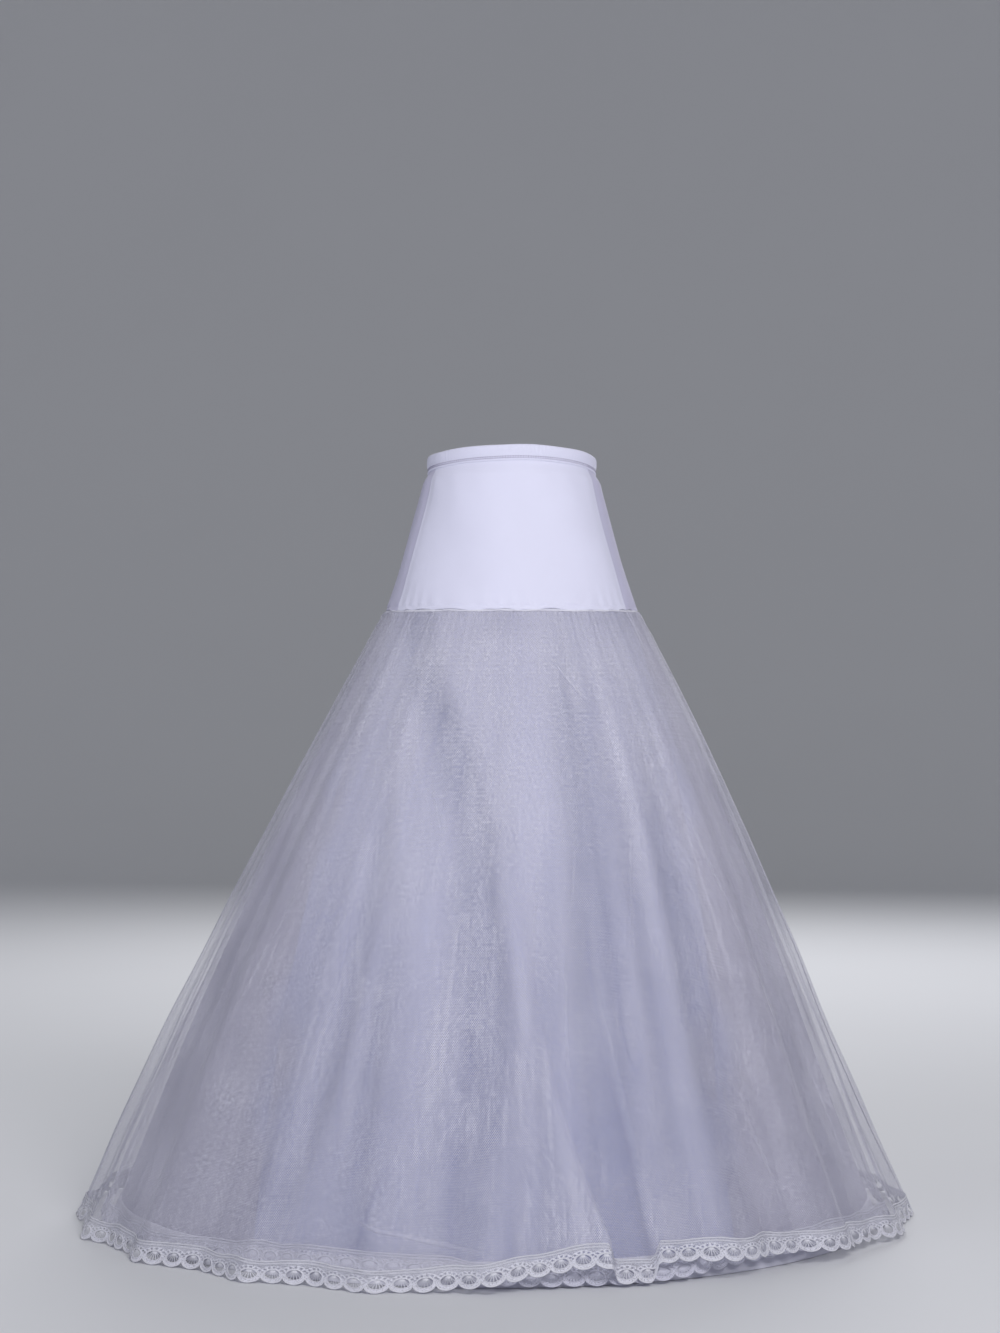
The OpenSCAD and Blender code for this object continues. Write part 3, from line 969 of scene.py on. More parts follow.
@dataclass
class Yoke:
    """Two smooth knit panels between the waistband and the hip seam."""

    form: WaistForm
    knit: KnitFinish
    back_knit_painted_shade: KnitFinish
    front_angle: float = math.radians(128)
    cloth: float = 0.0008
    tuck: float = 0.0057
    edge: float = 0.0064
    flare: float = 0.0020
    dim_to: float = math.radians(118)
    dim_over: float = math.radians(34)
    slope: float = 0.19
    mean_radii: tuple[float, float] = (0.116, 0.15)
    rows: int = 40
    edge_rows: int = 7
    columns_per_degree: float = 1.5

    def relief(self, angle: Array, share: Array) -> Array:
        """Returns how far the knit stands off its smooth shape.

        Small puckers fade upwards from the hip seam, a ridge lies along each side seam, and a
        shallow slack lies across the hip.

        Args:
            angle: direction from the front.
            share: 0 at the hip seam, 1 at the waistband.

        Returns:
            Distances outwards.
        """
        drop = share * self.form.height
        pucker = 0.0005 * np.exp(-drop / 0.010) * waves(angle, 41, 2.9, 7, 1.1)
        side = np.abs(np.abs(wrapped(angle)) - self.front_angle / 2) * 0.14
        ridge = 0.0004 * bell(side, 0.0028) - 0.0010 * bell(side, 0.011)
        slack = 0.0011 * np.sin(np.pi * share) * np.sin(6 * angle + 5 * share + 0.7)
        pull = 0.0005 * np.sin(19 * angle + 9 * share) * np.exp(-(1 - share) / 0.2)
        return (pucker + ridge * ease(share * 12) + slack + pull) * ease((1 - share) * 14)

    def turned_edge(self, angle: Array, inset: float) -> Array:
        """Returns points on the edge that laps the hip seam, flaring and wavering a little."""
        share = np.linspace(0, 1, self.edge_rows)[1:, None]
        drop = self.edge + 0.0009 * waves(angle, 11, 1.7, 4)
        drop = drop + 0.0006 * waves(angle, 29, 2.0, 6)
        out = self.flare * share ** 1.5 * (1 + 0.25 * waves(angle, 23, 2, 7)) - inset
        hip = self.form.skirt.hip
        return self.form.skirt.oval(angle, hip[0] / 2 + out, hip[1] / 2 + out, self.form.low - drop * share)

    def panel(self, name: str, start: float, end: float) -> bpy.types.Object:
        """Builds one panel as a closed cloth, tucked into the waistband and lapped on the hip seam.

        Args:
            name: the panel's CAD node.
            start: direction of its left edge.
            end: direction of its right edge.

        Returns:
            The panel.
        """
        columns = int(math.degrees(end - start) * self.columns_per_degree)
        angle = np.linspace(start, end, columns)[None, :]
        share = np.linspace(1, 0, self.rows)[:, None]
        lap = 1 + np.linspace(0, self.edge, self.edge_rows)[1:, None] / self.slope
        faces = []
        for inset in (0.0, self.cloth):
            top = self.form.band(angle, -self.form.tucked - inset, self.tuck)
            body = self.form.yoke(angle, share, self.relief(angle, share) - inset)
            faces.append(np.concatenate([top, body, self.turned_edge(angle, inset)]))
        centre = (start + end) / 2
        down = np.concatenate([1 - share, lap])
        u = (angle - centre) * mix(*self.mean_radii, down)
        v = np.broadcast_to(down * self.slope, u.shape)
        uv = np.concatenate([np.stack([u[:1], v[:1] - self.tuck], -1), np.stack([u, v], -1)])
        # Painted shade on the back panel: full near the side seams, which turn away from the lamps, fading
        # out towards the back.
        turned = np.abs(wrapped(angle))
        deep = ease((self.dim_to - turned) / self.dim_over)
        work = Patchwork()
        work.shell(faces[0], faces[1], uv)
        finish = self.knit if name == "yoke_front" else self.back_knit_painted_shade
        marks = {"deep": np.tile(deep, (2 * len(uv), 1))}
        return dress(work.build(f"{name}_knit", marks=marks, cut_edges=True), finish, Slot.KNIT, name)

    def build(self) -> None:
        half = self.front_angle / 2
        front = self.panel("yoke_front", -half, half)
        back = self.panel("yoke_back", half, FULL_TURN - half)


@dataclass
class HipSeam:
    """The rolled seam under the yoke's lower edge, which the skirts hang from."""

    form: SkirtForm
    thread: ThreadFinish
    height: float = 0.0105
    thickness: float = 0.0020
    low: float = 0.8372
    lip: float = 0.0048
    bumps: tuple[float, ...] = (-38.0, -14.0, 30.0, 44.0, 120.0, 171.0, 236.0)
    columns: int = 1440
    around: int = 20
    flat: tuple[float, float] = (0.97, 0.022)

    def surface(self, angle: Array, turn: Array) -> Array:
        """Returns points on the seam.

        Its outer face lies behind the yoke's edge and swells to a lip at the foot, which wanders up
        and down, thickens in a few bumps and is notched by the slanting threads of the overlock.

        Args:
            angle: direction from the front.
            turn: angle around the section.

        Returns:
            Places.
        """
        across, up = squared_ring(turn, 1.0, self.height, 4.0)
        share = up / self.height + 0.5
        bunch = waves(angle, 31, 2, 9) * np.sin(5 * angle + 1.0)
        spots = np.radians(np.array(self.bumps))[:, None, None]
        apart = wrapped(angle - spots)
        bump = bell(apart, 0.035).sum(0)
        lip = ease((0.36 - share) / 0.24) * (1 + 0.1 * bunch + 0.2 * bump)
        face = -0.0012 + self.lip * lip + 0.00008 * np.sin(420 * angle + 1.5 * turn) * lip
        out = mix(-0.0012 - self.thickness, face, across + 0.5)
        sag = -0.0004 * (1 + waves(angle, 13, 1.5, 4)) + 0.0003 * bunch - 0.0006 * bump
        z = self.low + self.height / 2 + up + sag * (1 - share)
        return self.form.oval(angle, self.form.hip[0] / 2 + out, self.form.hip[1] / 2 + out, z)

    def build(self) -> None:
        """Builds the seam."""
        work = rolled(self.surface, self.columns, self.around, self.flat)
        dress(work.build("hip_seam_roll"), self.thread, Slot.THREAD, "hip_seam")


class Gore(Enum):
    """The lining's gores, each with its side of the skirt counted in quarter turns."""

    FRONT = 0
    RIGHT = 1
    BACK = 2
    LEFT = 3

    @property
    def cool(self) -> bool:
        """Whether the gore is one of the two cool ones, which take less of the hem."""
        return self in (Gore.FRONT, Gore.BACK)


@dataclass(frozen=True)
class SoftFold:
    """A soft fold in the lining: its line down the skirt, how wide it is and how deep.

    Each place on the line is a height, a direction in degrees and a share of the depth. A negative
    depth is a crest.
    """

    places: tuple[tuple[float, float, float], ...]
    width: float
    depth: float

    def relief(self, angle: Array, z: Array, radius: Array) -> Array:
        """Returns the fold's stand-off: a bell across its line, as deep as the place says."""
        heights, ways, shares = np.array(self.places).T
        centre = np.radians(np.interp(z, heights, ways))
        share = np.interp(z, heights, shares)
        across = wrapped(angle - centre) * radius
        return -self.depth * share * np.exp(-(np.abs(across / self.width) ** 2.6))


@dataclass
class Lining:
    """Four taffeta gores that hang from the hip seam into the hoop casing."""

    form: SkirtForm
    cool: TaffetaFinish
    warm: TaffetaFinish
    folds: tuple[SoftFold, ...]
    hip_angle: float = math.radians(140)
    hem_angle: float = math.radians(72)
    swing: float = 0.6
    cloth: float = 0.0008
    low: float = 0.0147
    rows: int = 72
    columns: int = 150

    def edge(self, hip: float, hem: float, z: Array) -> Array:
        """Returns the direction of a gore's edge, which swings from the hip to the hem."""
        return mix(hip, hem, self.form.roundness(z) ** self.swing)

    def drawn(self, angle: Array, z: Array, radius: Array) -> Array:
        """Returns the stand-off of the drawn folds alone."""
        return sum(fold.relief(angle, z, radius) for fold in self.folds)

    def relief(self, angle: Array, z: Array, radius: Array) -> Array:
        """Returns how far the lining stands off its smooth shape.

        Broad soft flutes and the drawn folds sink in, deepest half way down, and die out at both
        ends. Crests stay inside the net.

        Args:
            angle: direction from the front.
            z: height.
            radius: half the skirt's width there.

        Returns:
            Distances outwards.
        """
        share = self.form.opening(z)
        held = np.sin(np.pi * np.clip(self.form.roundness(z), 0, 1)) ** 0.6
        behind = 0.35 + 0.65 * ease((1 - np.cos(angle)) * 1.2)
        flutes = waves(angle, 13, 1.6, 3, 2.2 * share) - 0.8
        flutes = 0.0042 * behind * flutes
        flutes = flutes + 0.0012 * waves(angle, 29, 2.0, 5, -3.0 * share)
        loose = flutes * share ** 0.5 + self.drawn(angle, z, radius)
        return np.minimum(loose * held, 0.0004 + 0.005 * share)

    def gore(self, which: Gore) -> bpy.types.Object:
        """Builds one gore as a closed cloth, with a narrow ridge along its seams.

        Args:
            which: the gore.

        Returns:
            The gore.
        """
        turn = which.value * np.pi / 2
        ends = (self.hip_angle / 2, self.hem_angle / 2)
        hip, hem = ends if which.cool else (np.pi / 2 - end for end in ends)
        z = np.linspace(self.form.height - SEWN_TOP, self.low, self.rows)[:, None]
        half = self.edge(hip, hem, z)
        share = np.linspace(-1, 1, self.columns)[None, :]
        angle = turn + half * share
        radius = self.form.radius(z)
        side = half * radius * (1 - np.abs(share))
        relief = self.relief(angle, z, radius)
        ridge = 0.0005 * bell(side, 0.004) - 0.0006 * bell(side, 0.016)
        sewn = relief + ridge * np.sin(np.pi * np.clip(self.form.roundness(z), 0, 1))
        outer = self.form.point(angle, z, sewn)
        inner = self.form.point(angle, z, sewn - self.cloth)
        inside = side if which.cool else -side
        wander = 0.022 * np.sin(z * 17 + 2 * turn + 0.6) + 0.010 * np.sin(z * 43 + 1.3 * turn)
        tone = 1 - ease((inside + wander + 0.030) / 0.06)
        drawn = self.drawn(angle, z, radius)
        # Painted highlight: the crests of the drawn folds are marked to be paler.
        lit = np.clip(drawn / 0.005, 0, 1)
        # Painted shade: marked in the fold valleys and in a thin line along the gore seams.
        folded = np.minimum(relief, drawn)
        deep = np.clip(-folded / 0.018, 0, 1) + 0.15 * bell(side, 0.006)
        work = Patchwork()
        work.shell(outer, inner, self.form.flat(angle, z, turn))
        node = f"lining_{which.name.lower()}_gore"
        marks = {"tone": tone, "deep": deep, "lit": lit}
        marks = {label: np.concatenate([mark, mark[::-1]]) for label, mark in marks.items()}
        finish = self.cool if which.cool else self.warm
        slot = Slot.TAFFETA_COOL if which.cool else Slot.TAFFETA_WARM
        piece = work.build(f"{node}_cloth", marks=marks, cut_edges=True)
        return dress(piece, finish, slot, node)

    def build(self) -> None:
        for which in Gore:
            piece = self.gore(which)


@dataclass
class Hoop:
    """The satin casing at the hem, and the coated steel hoop with its crimped joiner inside."""

    form: SkirtForm
    satin: SatinFinish
    thread: ThreadFinish
    steel: CoatedSteelFinish
    crimp: CrimpSteelFinish
    height: float = 0.031
    low_half: float = 0.0032
    high_half: float = 0.0020
    cloth: float = 0.0008
    stitch_up: float = 0.0205
    stitches: int = 830
    columns: int = 1080
    around: int = 24
    flat: tuple[float, float] = (3.33, 0.072)

    def surface(self, angle: Array, turn: Array) -> Array:
        """Returns points on the casing.

        The section follows the lining's slope: round at the foot over the hoop, thinner above
        it, with small puckers along its upper edge.

        Args:
            angle: direction from the front.
            turn: angle around the section.

        Returns:
            Places.
        """
        across, up = squared_ring(turn, 1.0, self.height - 0.0006, 5.0)
        z = up + self.height / 2
        half = mix(self.low_half, self.high_half, ease((z - 0.013) / 0.006))
        pucker = 0.0005 * waves(angle, 210, 2, 17) * ease((z - 0.012) / 0.012)
        sag = 0.0007 * waves(angle, 23, 1, 5) * ease(z / 0.02)
        return self.form.point(angle, z, -self.cloth / 2 + 2 * across * half + pucker + sag)

    def row(self, angle: Array) -> Array:
        """Returns the path of the stitches above the hoop, on the casing's outer face."""
        z = np.full_like(angle, self.stitch_up)
        return self.form.point(angle, z, self.high_half - self.cloth / 2 + 0.0002)

    def build(self) -> None:
        """Builds the casing and its stitches, and dresses the hoop and its joiner."""
        work = rolled(self.surface, self.columns, self.around, self.flat)
        dress(work.build("hoop_casing_satin"), self.satin, Slot.SATIN, "hoop_casing")
        StitchRow("casing_stitches", self.thread, self.row, self.stitches).build()
        recoat("hoop_strip", self.steel)
        recoat("hoop_joiner", self.crimp)


@dataclass(frozen=True)
class Crease:
    """A pressed crease in a net between two places, each a direction in degrees and a height."""

    start: tuple[float, float]
    end: tuple[float, float]
    height: float
    width: float
    dense: float = 0.35

    def spread(self, form: SkirtForm, along: Array, across: Array) -> tuple[Array, Array]:
        """Returns directions and heights of the crease's strip.

        Along the strip both go evenly from start to end, with a slight bow. Across it they are
        offset at right angles to that line, by the crease's width.

        Args:
            form: the skirt.
            along: 0 at the start, 1 at the end.
            across: -1 and 1 at the strip's edges.

        Returns:
            Directions and heights.
        """
        first, last = np.array(self.start), np.array(self.end)
        radius = form.radius((first[1] + last[1]) / 2)
        run, rise = math.radians(last[0] - first[0]) * radius, last[1] - first[1]
        offset = across * self.width / math.hypot(run, rise)
        bow = 0.012 * np.sin(np.pi * along) + offset
        angle = np.radians(mix(first[0], last[0], along)) + bow * rise / radius
        return angle, mix(first[1], last[1], along) - bow * run


@dataclass
class NetSkirt(ABC):
    """A gathered net skirt: a front and a back panel whose folds open from the hip to the hem."""

    form: SkirtForm
    finish: NetFinish
    thread: ThreadFinish
    name: str
    folds: int
    depth: float
    top: float
    flare: float
    phase: float
    ripples: int
    ripple_depth: float
    gather_depth: float
    flat: tuple[float, float]
    flat_area: float
    creases: tuple[Crease, ...] = ()
    gathers: int = 104
    lap: float = 0.019
    streak: float = 0.4
    sunk: float = 0.0003
    seam_cord: tuple[float, float] = (0.0011, 0.0034)
    rows: int = 72
    columns: int = 400
    crease_grid: tuple[int, int] = (7, 48)
    seam_grid: tuple[int, int] = (8, 160)

    @abstractmethod
    def tip(self, angle: Array) -> Array:
        """Returns the height of the lace's tips under this net."""

    def stand_off(self, angle: Array, z: Array) -> Array:
        """Returns the net's distance from the lining.

        It flares evenly. Folds are a cosine whose spacing and depth wander around the hem, made
        sharper at their crests; ripples run between them; gathers fade below the hip seam; and a
        slow crumple lies over all.

        Args:
            angle: direction from the front.
            z: height.

        Returns:
            Distances outwards.
        """
        angle, z = np.broadcast_arrays(angle, z)
        share = self.form.opening(z)
        drift = angle + 0.035 * np.sin(2 * angle + 3.0 * share + self.phase) * share * (1 - share) * 4
        size = 1 - 0.3 * (1 + np.cos(4 * angle)) / 2
        turn = self.folds * drift + math.radians(34) * np.sin(3 * angle)
        crest = np.cos(turn) + 0.2 * np.cos(2 * turn) - 0.04
        folds = self.depth * mix(0.03, 1, share) * size * crest
        ripple = self.ripple_depth * np.maximum(share, 0) ** 0.8
        ripple = ripple * np.sin(self.ripples * drift + 2.0 * np.sin(5 * angle + self.phase) + 1.2 * share)
        drop = np.maximum(self.form.height - z, 0)
        pleat = 0.5 + 0.5 * np.sin(self.gathers * angle + 1.8 * np.sin(9 * angle + self.phase))
        gather = self.gather_depth * 0.5 * np.exp(-drop / 0.05) * pleat
        crumple = np.sin(9 * angle + 11 * share + self.phase) * np.sin(21 * share - 4 * angle)
        crumple = 0.0016 * share * (crumple + 0.6 * np.sin(17 * angle - 19 * share + 2 * self.phase))
        bunched = waves(angle, 37, 2, 11, 260 * drop) * np.sin(23 * angle - 90 * drop)
        crumple = crumple + self.gather_depth * 1.6 * np.exp(-drop / 0.04) * bunched ** 2
        return self.top + self.flare * share + folds + ripple + gather + crumple

    def point(self, angle: Array, z: Array, lift: Array = 0.0) -> Array:
        """Returns points on the net, lifted off it by a distance."""
        return self.form.point(angle, z, self.stand_off(angle, z) + lift)

    def density(self, angle: Array, z: Array) -> Array:
        """Returns how thick the net lies."""
        return np.ones(np.broadcast(angle, z).shape)

    def pressed(self) -> bpy.types.Object:
        """Builds the creases as narrow ridges of doubled net that fade into the panel.

        Across a ridge the height is 1 minus the square of the place across, and it fades to
        nothing at both ends.

        Returns:
            The creases.
        """
        rows, columns = self.crease_grid
        along, across = np.linspace(0, 1, columns)[None, :], np.linspace(-1, 1, rows)[:, None]
        ridge = (1 - across ** 2) * ease(along * 4) * ease((1 - along) * 3)
        work, bearings = Patchwork(), []
        for crease in self.creases:
            angle, z = crease.spread(self.form, along, across)
            lift = self.sunk + crease.height * ridge
            work.grid(self.point(angle, z, lift), self.form.flat(angle, z, 0.0))
            bearings.append(angle * self.streak)
        dense = np.stack([crease.dense * ridge for crease in self.creases])
        marks = {"turn": np.stack(bearings), "dense": dense}
        return dress(work.build(f"{self.name}_net_creases", marks=marks), self.finish, Slot.NET)

    def panel(self, side: str, start: float) -> bpy.types.Object:
        """Builds half the skirt as one sheet, with its rows closer together towards the lace.

        Args:
            side: front or back.
            start: direction of its left seam.

        Returns:
            The panel.
        """
        angle = np.linspace(start, start + np.pi, self.columns)[None, :]
        share = 1 - np.linspace(1, 0, self.rows)[:, None] ** 1.5
        z = mix(self.form.height - SEWN_TOP, self.tip(angle) + self.lap, share)
        node = f"{self.name}_net_{side}"
        work = Patchwork()
        work.grid(self.point(angle, z, -self.sunk), self.form.flat(angle, z, start + np.pi / 2))
        turn = np.broadcast_to(angle * self.streak, z.shape)
        marks = {"turn": turn, "dense": self.density(angle, z)}
        piece = dress(work.build(f"{node}_tulle", marks=marks), self.finish, Slot.NET, node)
        creases = [self.pressed()] if self.creases and side == "front" else []
        return piece

    def side_seams(self) -> bpy.types.Object:
        """Builds the two side seams: a flat oval cord from the hip to the hem on each side."""
        sides, steps = self.seam_grid
        share, turn = np.linspace(0, 1, steps)[None, :], turns(sides)[:, None]
        uv = lattice(share[0] * 0.9, np.linspace(0, 0.008, sides + 1))
        work = Patchwork()
        for side in (-np.pi / 2, np.pi / 2):
            across, up = squared_ring(turn, *self.seam_cord, 2.0)
            z = mix(self.form.height - 0.004, self.tip(np.array(side)) + self.lap, share) + 0 * turn
            radius = self.form.radius(z)
            work.grid(self.point(side + up / radius, z, across), uv, rows_close=True)
        return dress(work.build(f"{self.name}_net_side_seams"), self.thread, Slot.NET)

    def build(self) -> None:
        """Builds both panels and their side seams."""
        self.panel("front", -np.pi / 2)
        self.panel("back", np.pi / 2)
        self.side_seams()


@dataclass
class InnerNet(NetSkirt):
    """The net next to the lining, whose hem dips a little five times around the skirt."""

    def tip(self, angle: Array) -> Array:
        """Returns 3 mm at each dip and 17 mm between them."""
        return 0.003 + 0.014 * (1 - np.cos(5 * (angle - math.radians(13)))) / 2


@dataclass
class OuterNet(NetSkirt):
    """The outermost net, whose hem lifts at the right front on both sides of a deep pleat."""

    under: NetSkirt | None = None
    pleat_left: tuple[tuple[float, float], ...] = ((0.056, 14.6), (0.221, 8.5), (0.360, 4.6))
    pleat_right: tuple[tuple[float, float], ...] = ((0.050, 22.0), (0.159, 21.0), (0.378, 16.7))
    pleat_wall: float = 0.013

    def pleat(self, angle: Array, z: Array) -> Array:
        """Returns 1 at the bottom of the pleat and 0 outside it, fading out up the skirt.

        Its two edges run between drawn places, each a height and a direction in degrees.

        Args:
            angle: direction from the front.
            z: height.

        Returns:
            Shares of the pleat's depth.
        """
        angle = wrapped(angle)
        left = np.radians(np.interp(z, *np.array(self.pleat_left).T))
        right = np.radians(np.interp(z, *np.array(self.pleat_right).T))
        reach = self.form.radius(z) / self.pleat_wall
        inside = ease((angle - left) * reach) * ease((right - angle) * reach)
        return inside * ease((0.50 - z) / 0.34)

    def density(self, angle: Array, z: Array) -> Array:
        """Returns how thick the net lies: thin at the bottom of the pleat, thick at its edges."""
        pleat = self.pleat(angle, z)
        return super().density(angle, z) * (1 - 0.65 * pleat) + 1.3 * pleat * (1 - pleat)

    def stand_off(self, angle: Array, z: Array) -> Array:
        """Returns the net's distance from the lining, sunk onto the net under it in the pleat."""
        plain = super().stand_off(angle, z)
        return mix(plain, self.under.stand_off(angle, z) + 0.004, 0.9 * self.pleat(angle, z))

    def tip(self, angle: Array) -> Array:
        """Returns 1 mm, with a lift of 28 mm at the right front that drops in the pleat."""
        degrees = (np.degrees(angle) + 90) % 360 - 90
        lift = ease((degrees + 12) / 28) * (1 - ease((degrees - 16) / 72))
        return 0.001 + 0.028 * lift * (1 - 0.85 * self.pleat(angle, np.full_like(angle, 0.05)))


@dataclass
class LaceEdge:
    """A scalloped lace edging: a pierced ground, a corded edge, corded eyelets and top cords."""

    net: NetSkirt
    finish: LaceFinish
    thread: ThreadFinish
    name: str
    scallops: int
    height: float = 0.027
    notch: float = 0.0065
    lift: float = 0.001
    cord: float = 0.0010
    fan: float = 0.0009
    proud: float = 0.0003
    flatness: float = 0.7
    inset: float = 0.7
    ring_cord: tuple[float, float] = (0.0007, 0.0006)
    top_cords: tuple[tuple[float, float, float], ...] = ((0.0008, 0.0007, 1), (0.0040, 0.0005, -1))
    fan_ways: tuple[float, ...] = (-75, -52, -26, 0, 26, 52, 75)
    steps: int = 12
    side_steps: int = 5
    rings: int = 5
    sides: int = 6
    ring_grid: tuple[int, int] = (5, 16)
    flat_length: float = 3.7
    flat_share: float = 0.75

    @property
    def pitch(self) -> float:
        """The length of one scallop along the hem."""
        return self.finish.pitch

    def on_net(self, along: Array, up: Array, out: Array) -> Array:
        """Carries flat lace onto the net's hem, where it leans and shrinks a little by turns.

        Args:
            along: place along the edging, in scallops.
            up: height above the tips.
            out: distance out from the lace's middle.

        Returns:
            Places.
        """
        angle = -np.pi / 2 + along * FULL_TURN / self.scallops
        lean = 0.10 * waves(angle, 17, 2, 7) + 0.06 * np.sin(43 * angle)
        shrink = 1 + 0.06 * waves(angle, 29, 1.5, 11)
        z = self.net.tip(angle) + up * shrink
        angle = angle + lean * up / self.height * FULL_TURN / self.scallops
        return self.net.point(angle, np.maximum(z, 0.0), self.lift + out)

    def scallop(self, share: Array) -> Array:
        """Returns the height of the scalloped edge: a notch at each end and a round foot between."""
        return self.notch * (1 - np.sin(np.pi * (share % 1)) ** 0.62)

    def uv(self, along: Array, up: Array) -> Array:
        """Returns the edging's UV in metres, with whole pitches between scallops."""
        along, up = np.broadcast_arrays(along, up)
        return np.stack([along * self.pitch, up], -1)

    def ground(self) -> bpy.types.Object:
        """Builds the pierced ground.

        In each scallop, rings of points run from the scallop's outline in to the eyelet's oval,
        each ring a share of the way along the straight lines between them.

        Returns:
            The ground.
        """
        wide, high = self.finish.eyelet
        foot, side = np.linspace(0, 1, self.steps + 1), np.linspace(0, 1, self.side_steps + 1)[1:]
        lower = np.stack([foot, self.scallop(foot)], -1)
        right = np.stack([np.ones_like(side), mix(self.notch, self.height, side)], -1)
        top = np.stack([1 - foot[1:], np.full_like(foot[1:], self.height)], -1)
        left = np.stack([np.zeros_like(side), mix(self.height, self.notch, side)], -1)[:-1]
        outline = np.concatenate([lower, right, top, left])
        centre, oval_size = (0.5, self.finish.eyelet_up), (wide / self.pitch, high)
        away = (outline - centre) / oval_size
        around = np.arctan2(away[:, 1], away[:, 0])
        oval = centre + np.stack([np.cos(around), np.sin(around)], -1) * oval_size
        rings = mix(oval[:, None], outline[:, None], np.linspace(1, 0, self.rings)[:, None])
        along = np.arange(self.scallops)[:, None, None] + rings[..., 0]
        up = np.broadcast_to(rings[..., 1], along.shape)
        swell = 0.0003 * np.cos(np.pi * (rings[..., 0] - 0.5))
        uv = self.uv(along, up)
        work = Patchwork()
        work.grid(self.on_net(along, up, swell), np.concatenate([uv, uv[:, :1]], 1), rows_close=True)
        return work.build(f"{self.name}_ground", merge=1e-5)

    def thread_along(self, work: Patchwork, along: Array, up: Array, radius: float) -> None:
        """Adds a closed cord that follows a flat path.

        Around the cord the points lie at radius times (cos across the path, flatness times sin out).

        Args:
            work: the mesh it joins.
            along: places on the path, in scallops.
            up: their heights.
            radius: half the cord's width.
        """
        half = self.scallops / 2
        step = (np.roll(along, -1) - np.roll(along, 1) + half) % self.scallops - half
        way = unit(np.stack([step * self.pitch, np.roll(up, -1) - np.roll(up, 1)], -1))
        turn = turns(self.sides)[:, None]
        across = radius * np.cos(turn)
        out = self.proud + self.flatness * radius * np.sin(turn)
        points = self.on_net(along - across * way[:, 1] / self.pitch, up + across * way[:, 0], out)
        u = np.append(along, along[0] + 1 / len(along)) * self.pitch
        uv = lattice(u, np.linspace(0, radius * FULL_TURN, self.sides + 1))
        work.grid(points, uv, rows_close=True, cols_close=True)

    def cords(self) -> bpy.types.Object:
        """Builds the scalloped edge cord and two straight cords along the top."""
        work = Patchwork()
        along = np.arange(self.scallops * self.steps) / self.steps
        self.thread_along(work, along, self.scallop(along) + self.cord * self.inset, self.cord)
        even = along[::2]
        wave = 0.0002 * np.sin(even * 9)
        for down, radius, way in self.top_cords:
            self.thread_along(work, even, self.height - down + way * wave, radius)
        return work.build(f"{self.name}_cords")

    def eyelets(self) -> bpy.types.Object:
        """Builds a corded ring round each eyelet and a fan of seven threads across it.

        A ring's points lie on the oval, offset by the cord's own small circle. A fan's threads run
        from the top of the oval to seven places on its lower side.

        Returns:
            The rings and fans.
        """
        wide, high = self.finish.eyelet
        rows, columns = self.ring_grid
        turn, section = turns(columns)[None, None, :], turns(rows)[None, :, None]
        across = self.ring_cord[0] * np.cos(section)
        number = np.arange(self.scallops)[:, None, None]
        along = number + 0.5 + (wide + across) * np.cos(turn) / self.pitch
        up = self.finish.eyelet_up + (high + across) * np.sin(turn) + 0 * number
        points = self.on_net(along, up, self.proud - self.ring_cord[1] * np.sin(section))
        work = Patchwork()
        uv = lattice(np.arange(columns + 1) * 0.0015, np.arange(rows + 1) * 0.001)
        work.grid(points, uv, rows_close=True, cols_close=True)
        spread = np.radians(self.fan_ways)[:, None, None]
        length = np.linspace(0, 1, 4)[None, :, None]
        edge = np.array([-0.5, 0.5])[None, None, :] * mix(self.fan * 1.3, self.fan, length)
        x = np.sin(spread) * wide * length + edge
        y = mix(high, -high * np.cos(spread), length) + 0 * edge
        along = number[..., None] + 0.5 + x / self.pitch
        up = np.broadcast_to(self.finish.eyelet_up + y, along.shape)
        work.grid(self.on_net(along, up, 0.0), lattice(np.arange(2) * 0.001, np.arange(4) * 0.002))
        return work.build(f"{self.name}_eyelets")

    def build(self) -> None:
        ground = dress(self.ground(), self.finish, Slot.LACE, self.name)
        cords = dress(self.cords(), self.thread, Slot.LACE)
        eyelets = dress(self.eyelets(), self.thread, Slot.LACE)


# The studio


@dataclass(frozen=True)
class Lamp:
    """A square soft lamp that points at a place."""

    name: str
    place: tuple[float, float, float]
    aim: tuple[float, float, float]
    size: float
    power: float
    colour: Colour = (1.0, 1.0, 1.0)

    def build(self) -> None:
        """Makes the lamp and turns it to its aim."""
        data = bpy.data.lights.new(self.name, "AREA")
        data.size, data.energy, data.color = self.size, self.power, self.colour
        lamp = bpy.data.objects.new(self.name, data)
        bpy.context.scene.collection.objects.link(lamp)
        lamp.location = self.place
        way = Vector(self.aim) - Vector(self.place)
        lamp.rotation_euler = way.to_track_quat("-Z", "Y").to_euler()


